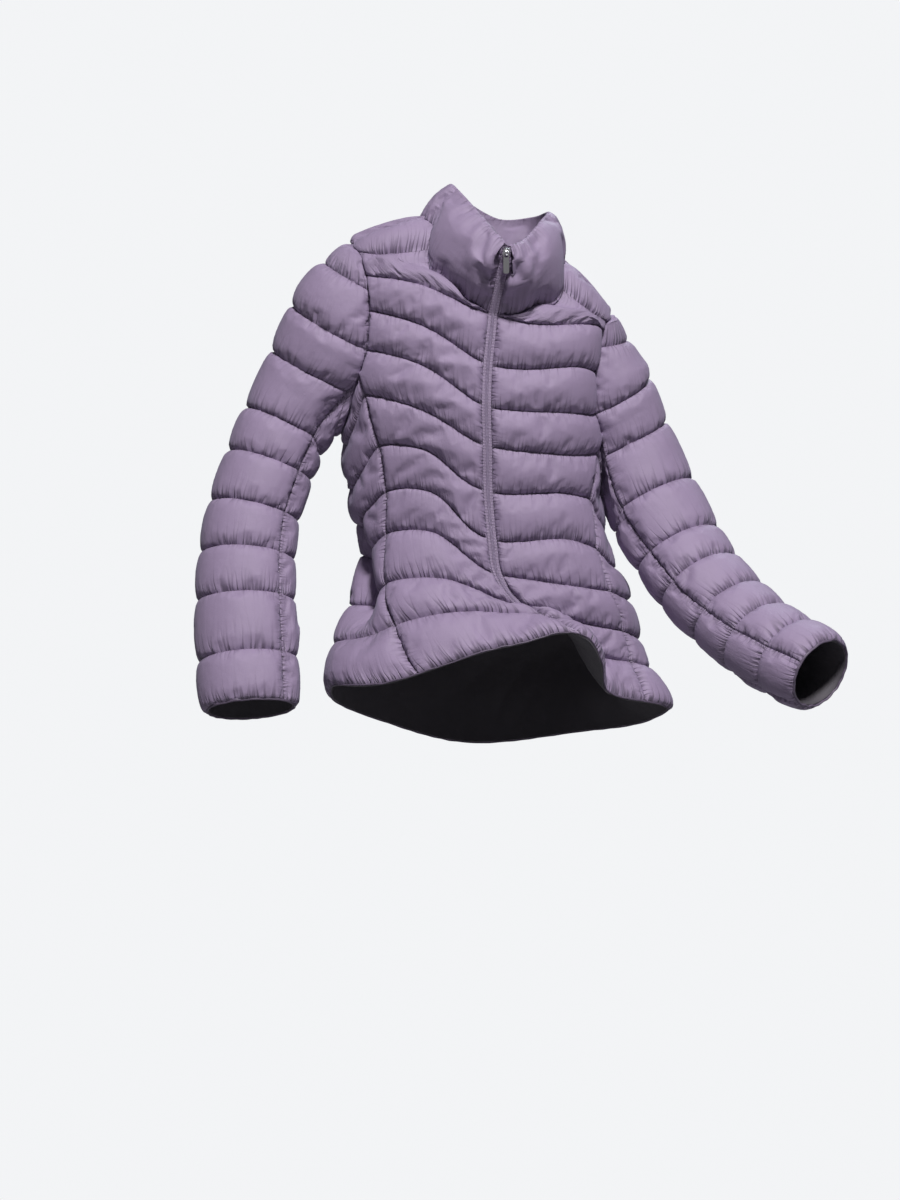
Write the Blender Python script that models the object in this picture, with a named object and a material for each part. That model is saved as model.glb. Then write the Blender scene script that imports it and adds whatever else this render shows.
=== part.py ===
"""Quilted puffer jacket with a stand collar and a front zip, filled out as if it were worn.

Metres, +Z up. The front faces -Y and the wearer's left is at +X. The origin is the middle of
the neck hole, where the wearer holds the jacket up. The shell is cut from padded panels whose
sewn channels run round the body and the sleeves. Each panel is one closed wall: a plain inside,
and an outside that rises in a puff between one quilting seam and the next.
"""
import bpy
import bmesh
import numpy as np
from math import pi
from mathutils import Vector

for old in list(bpy.data.objects):
    bpy.data.objects.remove(old, do_unlink=True)

# ---- driving dimensions ----
GAP = 0.0004             # between two pieces at a seam
SEAM_HALF = 0.0011       # half the wall where it is sewn flat
PUFF = 0.0105            # rise of a full body channel above its seams
SLEEVE_PUFF = 0.0080     # of a sleeve channel
COLLAR_PUFF = 0.0050     # of the collar
FULLEST = 0.92           # below 1, a channel is fullest a little below its middle
BOXY = 2.2               # how square a channel's section is
EDGE_ROUND = 0.022       # width over which a puff rises from a seam along a panel's side
TOP_ROUND = 0.026        # the same on a top sleeve
UNDER_ROUND = 0.030      # and on an under sleeve
SHOULDER_ROUND = 0.09    # more of it where the front's edge turns over the shoulder, at this level
SHOULDER_FLAT = 10.2
SHOULDER_FADE = 0.9      # levels above and below over which it dies away
SIDE_SHARE = 0.85        # rise of the side panels' and under sleeves' puffs, as shares
UNDER_SHARE = 0.7
ROOM_SHARE = 0.7        # share of the room beside a seam that a puff may fill
ARM_SLOPE = {+1: 0.19, -1: 0.35}    # how fast the face between arm and body slants outward
PRESS_REACH = {+1: 0.13, -1: 0.07}  # how far below the armhole they touch
PRESS_OPEN = 0.1         # how fast they part below it, up to this gap
PRESS_GAP = 0.0012
STEPS = 4                # rows to each channel
TAPE_HALF = 0.0062       # half the width of the closed zip's two tapes
LINING_WALL = 0.0012
LINING_STEP = 0.5        # seams from one row of a sleeve's lining to the next
SQUARE = 0.035           # how far the body's section is from an ellipse
DIP_REACH = 70           # degrees on each side of the zip over which its seams dip
DIP_SHARP = 1.5
TURN_STEP = 1.5          # degrees and levels over which the body's slope is taken
LEVEL_STEP = 0.3

# ---- the body: one row for each quilting seam, counted up from the hem ----
# level, x, y, z of the middle, half width, depth to front and back (metres), then degrees:
# roll (the wearer's left side lower), lean (front lower), turn of the zip to the wearer's left,
# and how far the seam dips at the zip (metres)
BODY = (
    # level     x       y       z    half   front   back  roll  lean turn  dip
    (0.0,    0.001,  0.012, -0.578, 0.224, 0.150, 0.101,   1, -33,  25, 0.000),
    (1.0,   -0.007,  0.040, -0.521, 0.205, 0.125, 0.104,   4, -27,  19, 0.000),
    (2.0,   -0.003,  0.058, -0.471, 0.190, 0.112, 0.104,   7, -11,   9, 0.000),
    (3.0,   -0.004,  0.064, -0.405, 0.177, 0.106, 0.104,  10,   3,   2, 0.002),
    (4.0,   -0.018,  0.064, -0.348, 0.171, 0.106, 0.106,  12,   7,   5, 0.004),
    (5.0,   -0.029,  0.060, -0.272, 0.169, 0.107, 0.108,  13,  12,   8, 0.006),
    (6.0,   -0.030,  0.050, -0.200, 0.176, 0.106, 0.108,  14.5, 14,  9, 0.015),
    (7.0,   -0.030,  0.040, -0.146, 0.177, 0.102, 0.104,  15.5, 15,  9, 0.017),
    (8.0,   -0.029,  0.031, -0.096, 0.177, 0.095, 0.099,  16,  15,   9, 0.014),
    (9.0,   -0.025,  0.021, -0.042, 0.176, 0.086, 0.090,  16,  15,   9, 0.008),
    (10.0,  -0.022,  0.013, -0.028, 0.175, 0.068, 0.074,  16,  14,   6, 0.000),
    (10.5,  -0.020,  0.009, -0.022, 0.173, 0.056, 0.062,  16,  14,   6, 0.000),
    (11.0,  -0.011,  0.004,  0.003, 0.135, 0.046, 0.050,  17,  14,   6, 0.000),
    (11.4,  -0.003,  0.000,  0.030, 0.091, 0.034, 0.036,  18,  12,   6, 0.000),
)

# ---- the largest folds of the body ----
# angle and level of the middle, reach before and after it in degrees, below and above in levels,
# then how far the cloth lies inward there and how far down (metres)
FOLDS = (
    # angle level before after below above inward  down
    (30,    0.0,   26,   62,  1.0,  3.2,  0.050, 0.022),    # hem of the left front hangs back
    (-82,   1.8,   23,   32,  1.3,  1.6,  0.034, 0.000),    # deep fold behind the right front
    (-32,   3.4,   58,   32,  3.0,  3.3,  0.000, -0.041),   # the right front's seams bow up
    (-32,   7.2,   50,   34,  2.4,  3.2,  0.000, -0.020),
    (34,    4.4,   32,   40,  1.6,  1.4,  0.000, -0.019),   # and a little of the left's
    (-62,   0.0,   50,   55,  1.0,  1.9,  0.000, 0.043),    # the right hem hangs at the side
    (0,     0.0,   20,   14,  1.0,  0.9,  0.000, -0.016),   # and is lifted at the zip
    (-38,   1.2,   36,   26,  1.5,  1.6, -0.012, 0.000),    # the right front swings out beside it
    (-100,  4.9,   42,   55,  2.2,  1.6,  0.000, 0.022),    # the right side sags under the arm
    (92,    5.2,   34,   55,  2.0,  1.6,  0.000, 0.014),    # and the left side
    (-150,  0.0,   46,   50,  1.0,  3.0,  0.012, -0.006),   # the back hem runs straighter
    (120,   0.0,   34,   50,  1.0,  2.6,  0.016, 0.000),
    (160,   0.0,   45,   40,  1.0,  2.0,  0.000, 0.007),
    (66,    0.2,   26,   24,  1.0,  1.8, -0.022, -0.004),   # corner at the hem's left side
    (36,    8.2,   30,   26,  2.2,  1.2, -0.006, -0.012),   # the left chest is pushed up
    (62,    8.0,   12,   12,  1.4,  1.6,  0.008, 0.004),    # groove along the left armhole
    (-66,   9.0,   30,   34,  0.9,  0.8,  0.000, 0.009),    # the top channel is wide at the shoulder
    (50,    8.8,   34,   38,  1.5,  1.0,  0.000, -0.012),
    (-34,   4.8,   45,   26,  1.6,  1.4,  0.000, -0.009),
)

# ---- seams of the body, as angle from the zip and level ----
FRONT_SEAM = ((0.0, 52), (2.0, 57), (4.0, 54), (5.2, 56), (6.5, 65))       # level, angle
BACK_SEAM = ((0.0, 128), (2.0, 124), (4.0, 126), (5.2, 123), (6.5, 117))
ARMHOLE = (   # turn round the armhole from the shoulder over the front, angle, level
    (0.00, 90, 10.50), (0.08, 76, 10.15), (0.15, 67, 9.60), (0.22, 61.5, 8.80),
    (0.29, 59.5, 8.00), (0.36, 60.5, 7.15), (0.42, 65, 6.50), (0.46, 74, 5.85),
    (0.50, 90, 5.55), (0.54, 107, 5.85), (0.58, 117, 6.50), (0.65, 121.5, 7.30),
    (0.72, 121.5, 8.20), (0.79, 117, 9.05), (0.87, 109, 9.75), (0.94, 99, 10.25), (1.00, 90, 10.50),
)
NECK_FRONT = ((0.0, 0, 9.05), (0.17, 11.5, 9.36), (0.34, 23, 10.25), (0.5, 38, 10.95), (1.0, 90, 11.4))
NECK_BACK = ((0.0, 90, 11.4), (0.25, 142, 11.15), (0.5, 180, 11.0), (0.75, 218, 11.15), (1.0, 270, 11.4))
CORNER = 6.5             # level where the side panel, the front or back and the sleeve meet
NECK_POINT = 9.0         # level where the zip ends at the collar
TOP = 11.0               # row that is the shoulder seam
FRONT_SPLIT = (0.0, 0.055, 0.18, 0.38, 0.6, 0.81, 0.945, 1.0)     # columns of a front
SIDE_SPLIT = (0.0, 0.14, 0.38, 0.62, 0.86, 1.0)                   # columns of a side panel
NECK_SPLIT = (0.0, 0.17, 0.34, 0.5, 0.66, 0.83, 1.0)
SLEEVE_SPLIT = (0.0, 0.06, 0.17, 0.29, 0.4, 0.5, 0.6, 0.71, 0.83, 0.94, 1.0)
BACK_SHOULDER = 0.30     # share of the back below each shoulder

# ---- the sleeves: one row for each quilting seam, counted down from the shoulder ----
# seam, x, y, z of the middle, half width, half depth
RIGHT_SLEEVE = (
    (-0.4, -0.158,  0.004,  0.033, 0.013, 0.014),
    (0.0,  -0.167,  0.008,  0.005, 0.034, 0.028),
    (1.0,  -0.195,  0.018, -0.053, 0.060, 0.048),
    (2.0,  -0.224,  0.032, -0.107, 0.060, 0.051),
    (3.0,  -0.251,  0.042, -0.161, 0.058, 0.051),
    (4.0,  -0.281,  0.040, -0.216, 0.054, 0.050),
    (5.0,  -0.301,  0.032, -0.267, 0.053, 0.049),
    (6.0,  -0.321,  0.020, -0.328, 0.054, 0.048),
    (7.0,  -0.329,  0.004, -0.388, 0.056, 0.047),
    (8.0,  -0.330, -0.016, -0.448, 0.058, 0.046),
    (9.0,  -0.326, -0.040, -0.524, 0.059, 0.045),
    (10.0, -0.321, -0.062, -0.587, 0.057, 0.042),
)
LEFT_SLEEVE = (
    (-0.4, 0.119,  0.016, -0.054, 0.013, 0.014),
    (0.0,  0.123,  0.022, -0.084, 0.034, 0.028),
    (1.0,  0.130,  0.036, -0.146, 0.060, 0.048),
    (2.0,  0.153,  0.052, -0.203, 0.061, 0.051),
    (3.0,  0.178,  0.058, -0.259, 0.060, 0.051),
    (4.0,  0.206,  0.048, -0.315, 0.058, 0.050),
    (5.0,  0.240,  0.026, -0.378, 0.055, 0.049),
    (6.0,  0.266, -0.002, -0.422, 0.054, 0.048),
    (7.0,  0.302, -0.036, -0.463, 0.053, 0.047),
    (8.0,  0.335, -0.074, -0.495, 0.052, 0.046),
    (9.0,  0.371, -0.114, -0.519, 0.052, 0.046),
    (10.0, 0.408, -0.152, -0.539, 0.049, 0.045),
)
SLEEVE_ROWS = ((6.5, 2.5), (7.0, 2.0), (8.5, 1.0), (11.0, 0.0))   # body row: sleeve row, at the cap
UNDER_ANGLE = 140        # where the under sleeve's seams lie, from the sleeve's outer line
CUFF = 10.0
CAP_BASE = 2.5           # sleeve seam at the bottom of the armhole
SEAM_SETTLE = 1.75       # seams below it over which the two long seams find their line
UNDER_SETTLE = 2.6       # and over which the under sleeve's rows level out
CAP_HOLD = 1.25          # seams over which the top sleeve follows the armhole, and the share
CAP_SHARE = 0.5          # of its width from each edge
UNDER_HOLD = 1.6         # the same for the under sleeve
UNDER_SHIFT = 0.6
CAP_LOWEST = 4.5         # lowest sleeve seam that the armhole can meet
CAP_STEP = 0.005
CAP_NEAREST = 0.02       # weight of the plain distance when a seam is matched to a point

# ---- the collar: its top edge, from the zip round by the wearer's left and back to the zip ----
COLLAR_TOP = (
    # turn      x       y       z
    (0.00,  0.012, -0.112,  0.008),
    (0.04,  0.023, -0.107,  0.012),
    (0.10,  0.036, -0.090,  0.022),
    (0.20,  0.056, -0.052,  0.048),
    (0.30,  0.066, -0.006,  0.065),
    (0.40,  0.048,  0.038,  0.064),
    (0.50,  0.004,  0.058,  0.064),
    (0.60, -0.040,  0.040,  0.086),
    (0.70, -0.056, -0.004,  0.100),
    (0.80, -0.037, -0.048,  0.074),
    (0.90, -0.012, -0.088,  0.040),
    (0.96,  0.001, -0.106,  0.022),
    (1.00,  0.012, -0.112,  0.008),
)
COLLAR_STEPS = 6
COLLAR_BULGE = 0.004     # how far it bows out between the neck and its top edge
COLLAR_EASE = 0.12       # share of its length beside the zip where the bow dies away
COLLAR_HALF = 0.00143    # half its wall at the seams
COLLAR_ROUND = 0.018     # width over which its puff rises beside the zip
COLLAR_FULL = 0.6        # how square its puff is
COLLAR_INSIDE = 0.8      # rise of its inside, as a share

# ---- the slider and its pull ----
SLIDER = (0.0086, 0.0105, 0.0044)     # width, length, thickness
ARCH = (0.0018, 0.0078, 0.0034, 0.0010)   # width, length, rise, thickness of the slider's bridge
PULL = (0.0074, 0.0270, 0.0014)       # width, length from its axis, thickness
EYE = (0.0048, 0.0056)                # inner width and length of the pull's eye
ARCH_SUNK = 0.0008       # how deep the bridge's feet go into the slider
SLIDER_DROP = 0.001      # from the tape's end down to the slider
TAPE_WALL = 0.0016
LINING_DROP = 0.0035     # how far the lining hangs inside the shell above the hem
LINING_ROWS = (0, 0.5, 1, 1.5, 2, 2.5, 3, 3.5, 4)
CUFF_LINING = 8.0        # seam of the sleeve up to which its lining shows

PURPLE = (0.310, 0.235, 0.350)
LINING = (0.010, 0.009, 0.012)
TAPE = (0.240, 0.190, 0.280)
METAL = (0.55, 0.55, 0.57)


# ---- curves and surfaces ----
def smooth(table, t):
    """A smooth curve through the table's rows, whose first column is the place along it."""
    table = np.asarray(table, float)
    knots, rows = table[:, 0], table[:, 1:]
    t = np.clip(np.asarray(t, float), knots[0], knots[-1])
    i = np.clip(np.searchsorted(knots, t, side="right") - 1, 0, len(knots) - 2)
    step = np.diff(knots)[:, None]
    slope = np.diff(rows, axis=0) / step
    inner = (slope[:-1] * step[1:] + slope[1:] * step[:-1]) / (step[1:] + step[:-1])
    tangent = np.vstack([slope[:1], inner, slope[-1:]])
    u = ((t - knots[i]) / step[i, 0])[..., None]
    h = step[i, 0][..., None]
    start = (2 * u**3 - 3 * u**2 + 1) * rows[i] + (u**3 - 2 * u**2 + u) * h * tangent[i]
    return start + (3 * u**2 - 2 * u**3) * rows[i + 1] + (u**3 - u**2) * h * tangent[i + 1]


def unit(v):
    return v / np.maximum(np.linalg.norm(v, axis=-1, keepdims=True), 1e-12)


def fade(t):
    """1 at t = 0, falling smoothly to 0 at t = 1."""
    t = np.clip(t, 0, 1)
    return 1 - t * t * (3 - 2 * t)


def body(angle, level):
    """A point of the body's seam surface; the angle is from the zip, + to the wearer's left."""
    angle, level = np.broadcast_arrays(np.asarray(angle, float), np.asarray(level, float))
    angle = (angle + 180) % 360 - 180
    x0, y0, z0, half, front, back, roll, lean, turn, dip = np.moveaxis(smooth(BODY, level), -1, 0)
    a = np.radians(angle + turn)
    square = 1 + SQUARE * np.sin(2 * a) ** 2
    x = half * np.sin(a) * square
    y = -np.where(np.cos(a) > 0, front, back) * np.cos(a) * square
    z = -dip * np.clip(1 - np.abs(angle) / DIP_REACH, 0, 1) ** DIP_SHARP
    for at, high, before, after, below, above, inward, down in FOLDS:
        off = (angle - at + 180) % 360 - 180
        around = np.clip(np.abs(off) / np.where(off < 0, before, after), 0, 1)
        up = np.clip(np.abs(level - high) / np.where(level < high, below, above), 0, 1)
        weight = fade(around) * fade(up)
        reach = np.maximum(np.hypot(x, y), 1e-6)
        x = x * (1 - weight * inward / reach)
        y = y * (1 - weight * inward / reach)
        z = z - weight * down
    r, p = np.radians(roll), np.radians(lean)
    y, z = y * np.cos(p), z + y * np.sin(p)
    x, z = x * np.cos(r) + z * np.sin(r), z * np.cos(r) - x * np.sin(r)
    return np.stack([x0 + x, y0 + y, z0 + z], -1)


def body_normal(angle, level):
    along = body(np.add(angle, TURN_STEP), level) - body(np.subtract(angle, TURN_STEP), level)
    up = body(angle, np.add(level, LEVEL_STEP)) - body(angle, np.subtract(level, LEVEL_STEP))
    return unit(np.cross(along, up))


def from_zip(level, metres):
    """The angle at this distance from the zip, over the surface."""
    degree = np.linalg.norm(body(TURN_STEP, level) - body(-TURN_STEP, level), axis=-1) / (2 * TURN_STEP)
    return metres / degree


def armhole(turn):
    return smooth(ARMHOLE, turn)


def armhole_at(level, is_front):
    """Turn round the armhole where its front or back edge is at this level."""
    turns = np.linspace(0, 0.5, 801) if is_front else np.linspace(1, 0.5, 801)
    levels = armhole(turns)[:, 1]
    return np.interp(level, levels[::-1], turns[::-1])


def coons(bottom, top, left, right, v, split):
    """Fill four edges, each a list of (angle, level) pairs, with rows that blend them."""
    v = np.asarray(v)[:, None, None]
    u = np.asarray(split)[None, :, None]
    sides = (1 - u) * left[:, None, :] + u * right[:, None, :]
    ends = (1 - v) * bottom[None] + v * top[None]
    corners = ((1 - u) * (1 - v) * bottom[0] + u * (1 - v) * bottom[-1]
               + (1 - u) * v * top[0] + u * v * top[-1])
    return sides + ends - corners


# ---- walls ----
def channel_rise(rows):
    """0 on a quilting seam and 1 at the fullest part of a channel, a little below its middle."""
    part = np.mod(np.asarray(rows, float), 1.0)
    return np.sqrt(np.clip(1 - np.abs(2 * part ** FULLEST - 1) ** BOXY, 0, 1))


def edge_rise(distance, reach=EDGE_ROUND):
    t = np.clip(distance / reach, 0, 1)
    return np.sqrt(1 - (1 - t) ** 2)


def distance_along(points):
    """Distance of each point of each row from its row's nearer end."""
    steps = np.linalg.norm(np.diff(points, axis=1), axis=-1)
    run = np.concatenate([np.zeros((len(points), 1)), np.cumsum(steps, axis=1)], axis=1)
    return np.minimum(run, run[:, -1:] - run)


def material(name, colour, roughness, metallic=0.0):
    found = bpy.data.materials.get(name)
    if found:
        return found
    new = bpy.data.materials.new(name)
    new.use_nodes = True
    shader = new.node_tree.nodes["Principled BSDF"]
    shader.inputs["Base Color"].default_value = (*colour, 1.0)
    shader.inputs["Roughness"].default_value = roughness
    shader.inputs["Metallic"].default_value = metallic
    new.diffuse_color = (*colour, 1.0)
    return new


def add_object(name, bm, mat):
    """Face the closed mesh outward and put it in the scene."""
    bmesh.ops.recalc_face_normals(bm, faces=bm.faces)
    if bm.calc_volume(signed=True) < 0:
        bmesh.ops.reverse_faces(bm, faces=bm.faces)
    mesh = bpy.data.meshes.new(name)
    bm.to_mesh(mesh)
    bm.free()
    mesh.shade_smooth()
    mesh.set_sharp_from_angle(angle=pi / 4)
    mesh.materials.append(mat)
    new = bpy.data.objects.new(name, mesh)
    bpy.context.collection.objects.link(new)
    return new


def inside_rows(rows):
    """Which rows the inside of a wall keeps: every other one, and all of them from the neck up."""
    return [i for i, row in enumerate(rows) if row > NECK_POINT or (2 * row) % 1 == 0]


def wall(name, outer, inner, mat, kept=None):
    """Close two grids of points into one wall; the inside has only the rows that are kept."""
    rows, cols = outer.shape[:2]
    kept = kept or list(range(rows))
    bm = bmesh.new()
    out = [[bm.verts.new(p) for p in row] for row in outer.tolist()]
    ins = {i: [bm.verts.new(p) for p in inner[i].tolist()] for i in kept}
    for i in range(rows - 1):
        for j in range(cols - 1):
            bm.faces.new((out[i][j], out[i][j + 1], out[i + 1][j + 1], out[i + 1][j]))
    for low, high in zip(kept, kept[1:]):
        for j in range(cols - 1):
            bm.faces.new((ins[high][j], ins[high][j + 1], ins[low][j + 1], ins[low][j]))
        apex = (low + high + 1) // 2
        for j, flip in ((0, False), (cols - 1, True)):
            fan = []
            for i in range(low, high):
                foot = ins[low][j] if i < apex else ins[high][j]
                fan.append((out[i][j], out[i + 1][j], foot))
            fan.append((ins[low][j], out[apex][j], ins[high][j]))
            for corners in fan:
                bm.faces.new(corners[::-1] if flip else corners)
    for i, flip in ((0, True), (rows - 1, False)):
        for j in range(cols - 1):
            corners = (out[i][j], out[i][j + 1], ins[i][j + 1], ins[i][j])
            bm.faces.new(corners[::-1] if flip else corners)
    bmesh.ops.triangulate(bm, faces=bm.faces, quad_method="SHORT_EDGE")
    return add_object(name, bm, mat)


def room(points, normals, ends):
    """How far each point may rise before it passes the plane halfway to the panel beside it."""
    free = np.full(points.shape[:2], 1.0)
    edges = [(points[:, :1], normals[:, :1]), (points[:, -1:], normals[:, -1:])]
    edges += [(points[i:i + 1 or None], normals[i:i + 1 or None]) for i in ends]
    for start, normal in edges:
        apart = points - start
        distance = np.linalg.norm(apart, axis=-1)
        lean = np.sum(apart * normal, -1) / np.maximum(distance, 1e-9)
        slope = np.sqrt(1 - np.clip(lean, 0, 1) ** 2) / np.maximum(lean, 1e-3)
        free = np.where(lean > 0, np.minimum(free, distance * slope), free)
    return free


def padded_wall(name, points, normals, rows, mat, puff, reach=EDGE_ROUND, ends=(), kept=None, press=None):
    """A padded panel: flat at its seams, raised between them, plain inside.

    ends are the first (0) or last (-1) rows that lie on a seam; press moves the finished
    surfaces off whatever the panel leans on."""
    distance = distance_along(points)
    for i in ends:
        distance = np.minimum(distance, np.linalg.norm(points - points[i:i + 1 or None], axis=-1))
    rise = puff * channel_rise(rows)[:, None] * edge_rise(distance, reach)
    spare = ROOM_SHARE * room(points, normals, ends) - SEAM_HALF
    height = SEAM_HALF + np.clip(rise, 0, np.maximum(spare, 0))
    outer = points + normals * height[..., None]
    inner = points - normals * SEAM_HALF
    if press:
        outer, inner = press(outer, 0.0), press(inner, 2 * SEAM_HALF)
    return wall(name, outer, inner, mat, kept or inside_rows(rows))


def pull_in(points, normals, first_row, last_row, first_col, last_col):
    """Move a panel's edges in over its own surface by half a seam's gap."""
    moved = points.copy()
    if first_row:
        moved[0] += unit(points[1] - points[0]) * GAP / 2
    if last_row:
        moved[-1] += unit(points[-2] - points[-1]) * GAP / 2
    if first_col:
        moved[:, 0] += unit(points[:, 1] - points[:, 0]) * GAP / 2
    if last_col:
        moved[:, -1] += unit(points[:, -2] - points[:, -1]) * GAP / 2
    return moved


# ---- places along the seams ----
LOW_ROWS = np.arange(0, CORNER + 0.01, 1 / STEPS)
MID_ROWS = np.arange(0, NECK_POINT + 0.01, 1 / STEPS)
HIGH_ROWS = np.arange(NECK_POINT, TOP + 0.01, 1 / STEPS)
CAP_ROWS = np.arange(CORNER, TOP + 0.01, 1 / STEPS)


def armhole_edge(rows, is_front):
    """(angle, level) of the armhole's front or back edge at these body rows."""
    rows = np.asarray(rows, float)
    low = armhole_at(np.minimum(rows, NECK_POINT), is_front)
    high = armhole_at(NECK_POINT, is_front)
    end = 0.0 if is_front else 1.0
    part = np.clip((rows - NECK_POINT) / (TOP - NECK_POINT), 0, 1)
    return armhole(np.where(rows > NECK_POINT, high + (end - high) * part, low))


def side_edge(rows, is_front):
    """The seam beside the side panel, then the armhole above it."""
    rows = np.asarray(rows, float)
    seam = smooth(FRONT_SEAM if is_front else BACK_SEAM, rows)[:, 0]
    low = np.stack([seam, rows], -1)
    return np.where((rows < CORNER)[:, None], low, armhole_edge(np.maximum(rows, CORNER), is_front))


def mirrored(pairs):
    return pairs * np.array([-1.0, 1.0])


SEAM_NORMALS = {}
PRESSED = {}


def pressed(grid, seam, side, away, behind):
    """Keep points below the bottom of an armhole on their side of the face where arm meets body."""
    order = np.argsort(seam[:, 1])
    face_x = np.interp(grid[..., 1], seam[order, 1], seam[order, 0] * side)
    face_z = np.interp(grid[..., 1], seam[order, 1], seam[order, 2])
    below = np.maximum(face_z - grid[..., 2], 0)
    face_x = face_x + below * ARM_SLOPE[side]
    off = (grid[..., 0] * side - face_x) * away
    clear = np.minimum(below * PRESS_OPEN, PRESS_GAP) + np.minimum(behind, below)
    touching = (below > GAP) & (below < PRESS_REACH[side])
    short = np.where(touching, np.maximum(clear - off, 0), 0)
    moved = grid.copy()
    moved[:, 1:-1, 0] += (short * side * away)[:, 1:-1]
    return moved


def front_start():
    """The front's edge beside the zip."""
    start = np.stack([from_zip(MID_ROWS, TAPE_HALF), MID_ROWS], -1)
    start[-1, 1] = NECK_FRONT[0][2]
    return start


def neck_edge(side):
    """(angle, level) of the neck seam on one front, from the zip to the shoulder seam."""
    pairs = smooth(NECK_FRONT, (HIGH_ROWS - NECK_POINT) / (TOP - NECK_POINT))
    pairs[0] = front_start()[-1]
    return pairs * np.array([side, 1.0])


# ---- sleeves ----
class Sleeve:
    """The seam surface of one sleeve; side is +1 for the wearer's left and -1 for the right."""

    def __init__(self, side, table):
        self.side = side
        self.table = np.asarray(table, float)
        self.fit_cap()

    def frame(self, seam):
        here = smooth(self.table, seam)
        ahead = smooth(self.table, np.add(seam, 0.05))[..., :3]
        behind = smooth(self.table, np.subtract(seam, 0.05))[..., :3]
        run = unit(ahead - behind)
        side = np.zeros_like(run)
        side[..., 0] = self.side
        outward = unit(side - run * np.sum(side * run, -1, keepdims=True))
        forward = np.cross(run, outward) * self.side
        return here[..., :3], run, outward, forward, here[..., 3], here[..., 4]

    def tube(self, seam, around):
        middle, _, outward, forward, half, depth = self.frame(seam)
        a = np.radians(around)
        return (middle + outward * (half * np.cos(a))[..., None]
                + forward * (depth * np.sin(a))[..., None])

    def normal(self, seam, points):
        middle, run, outward, forward, half, depth = self.frame(seam)
        off = points - middle
        return unit(outward * (np.sum(off * outward, -1) / half ** 2)[..., None]
                    + forward * (np.sum(off * forward, -1) / depth ** 2)[..., None])

    def locate(self, points):
        """Seam number and angle round the arm of points near the sleeve."""
        tries = np.arange(self.table[0, 0], CAP_LOWEST, CAP_STEP)
        middle, run = self.frame(tries)[:2]
        apart = points[:, None] - middle[None]
        off = np.abs(np.sum(apart * run[None], -1)) + CAP_NEAREST * np.linalg.norm(apart, axis=-1)
        seam = tries[off.argmin(1)]
        middle, _, outward, forward, half, depth = self.frame(seam)
        from_middle = points - middle
        around = np.degrees(np.arctan2(np.sum(from_middle * forward, -1) / depth,
                                       np.sum(from_middle * outward, -1) / half))
        return seam, around

    def fit_cap(self):
        """Find where the armhole's points lie on the sleeve, and how far off its surface."""
        turn_front = armhole_edge(CAP_ROWS, True)
        turn_back = armhole_edge(CAP_ROWS, False)
        bottom_front, bottom_back = armhole_at(CORNER, True), armhole_at(CORNER, False)
        turns = bottom_front + (bottom_back - bottom_front) * np.asarray(SIDE_SPLIT)
        self.holes = {}
        for key, pairs in (("front", turn_front), ("back", turn_back), ("under", armhole(turns))):
            pairs = pairs.copy()
            pairs[:, 0] *= self.side
            points = body(pairs[:, 0], pairs[:, 1])
            seam, around = self.locate(points)
            if key == "under":
                around = np.where(around < 0, around + 360, around)
            elif key == "front":
                around = np.where(around < -90, around + 360, around)
            else:
                around = np.where(around > 90, around - 360, around)
            inward = body_normal(pairs[:, 0], pairs[:, 1])
            self.holes[key] = (pairs, points, inward, seam, around)


def sleeve_row(row):
    table = np.asarray(SLEEVE_ROWS)
    return np.interp(row, table[:, 0], table[:, 1])


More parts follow.
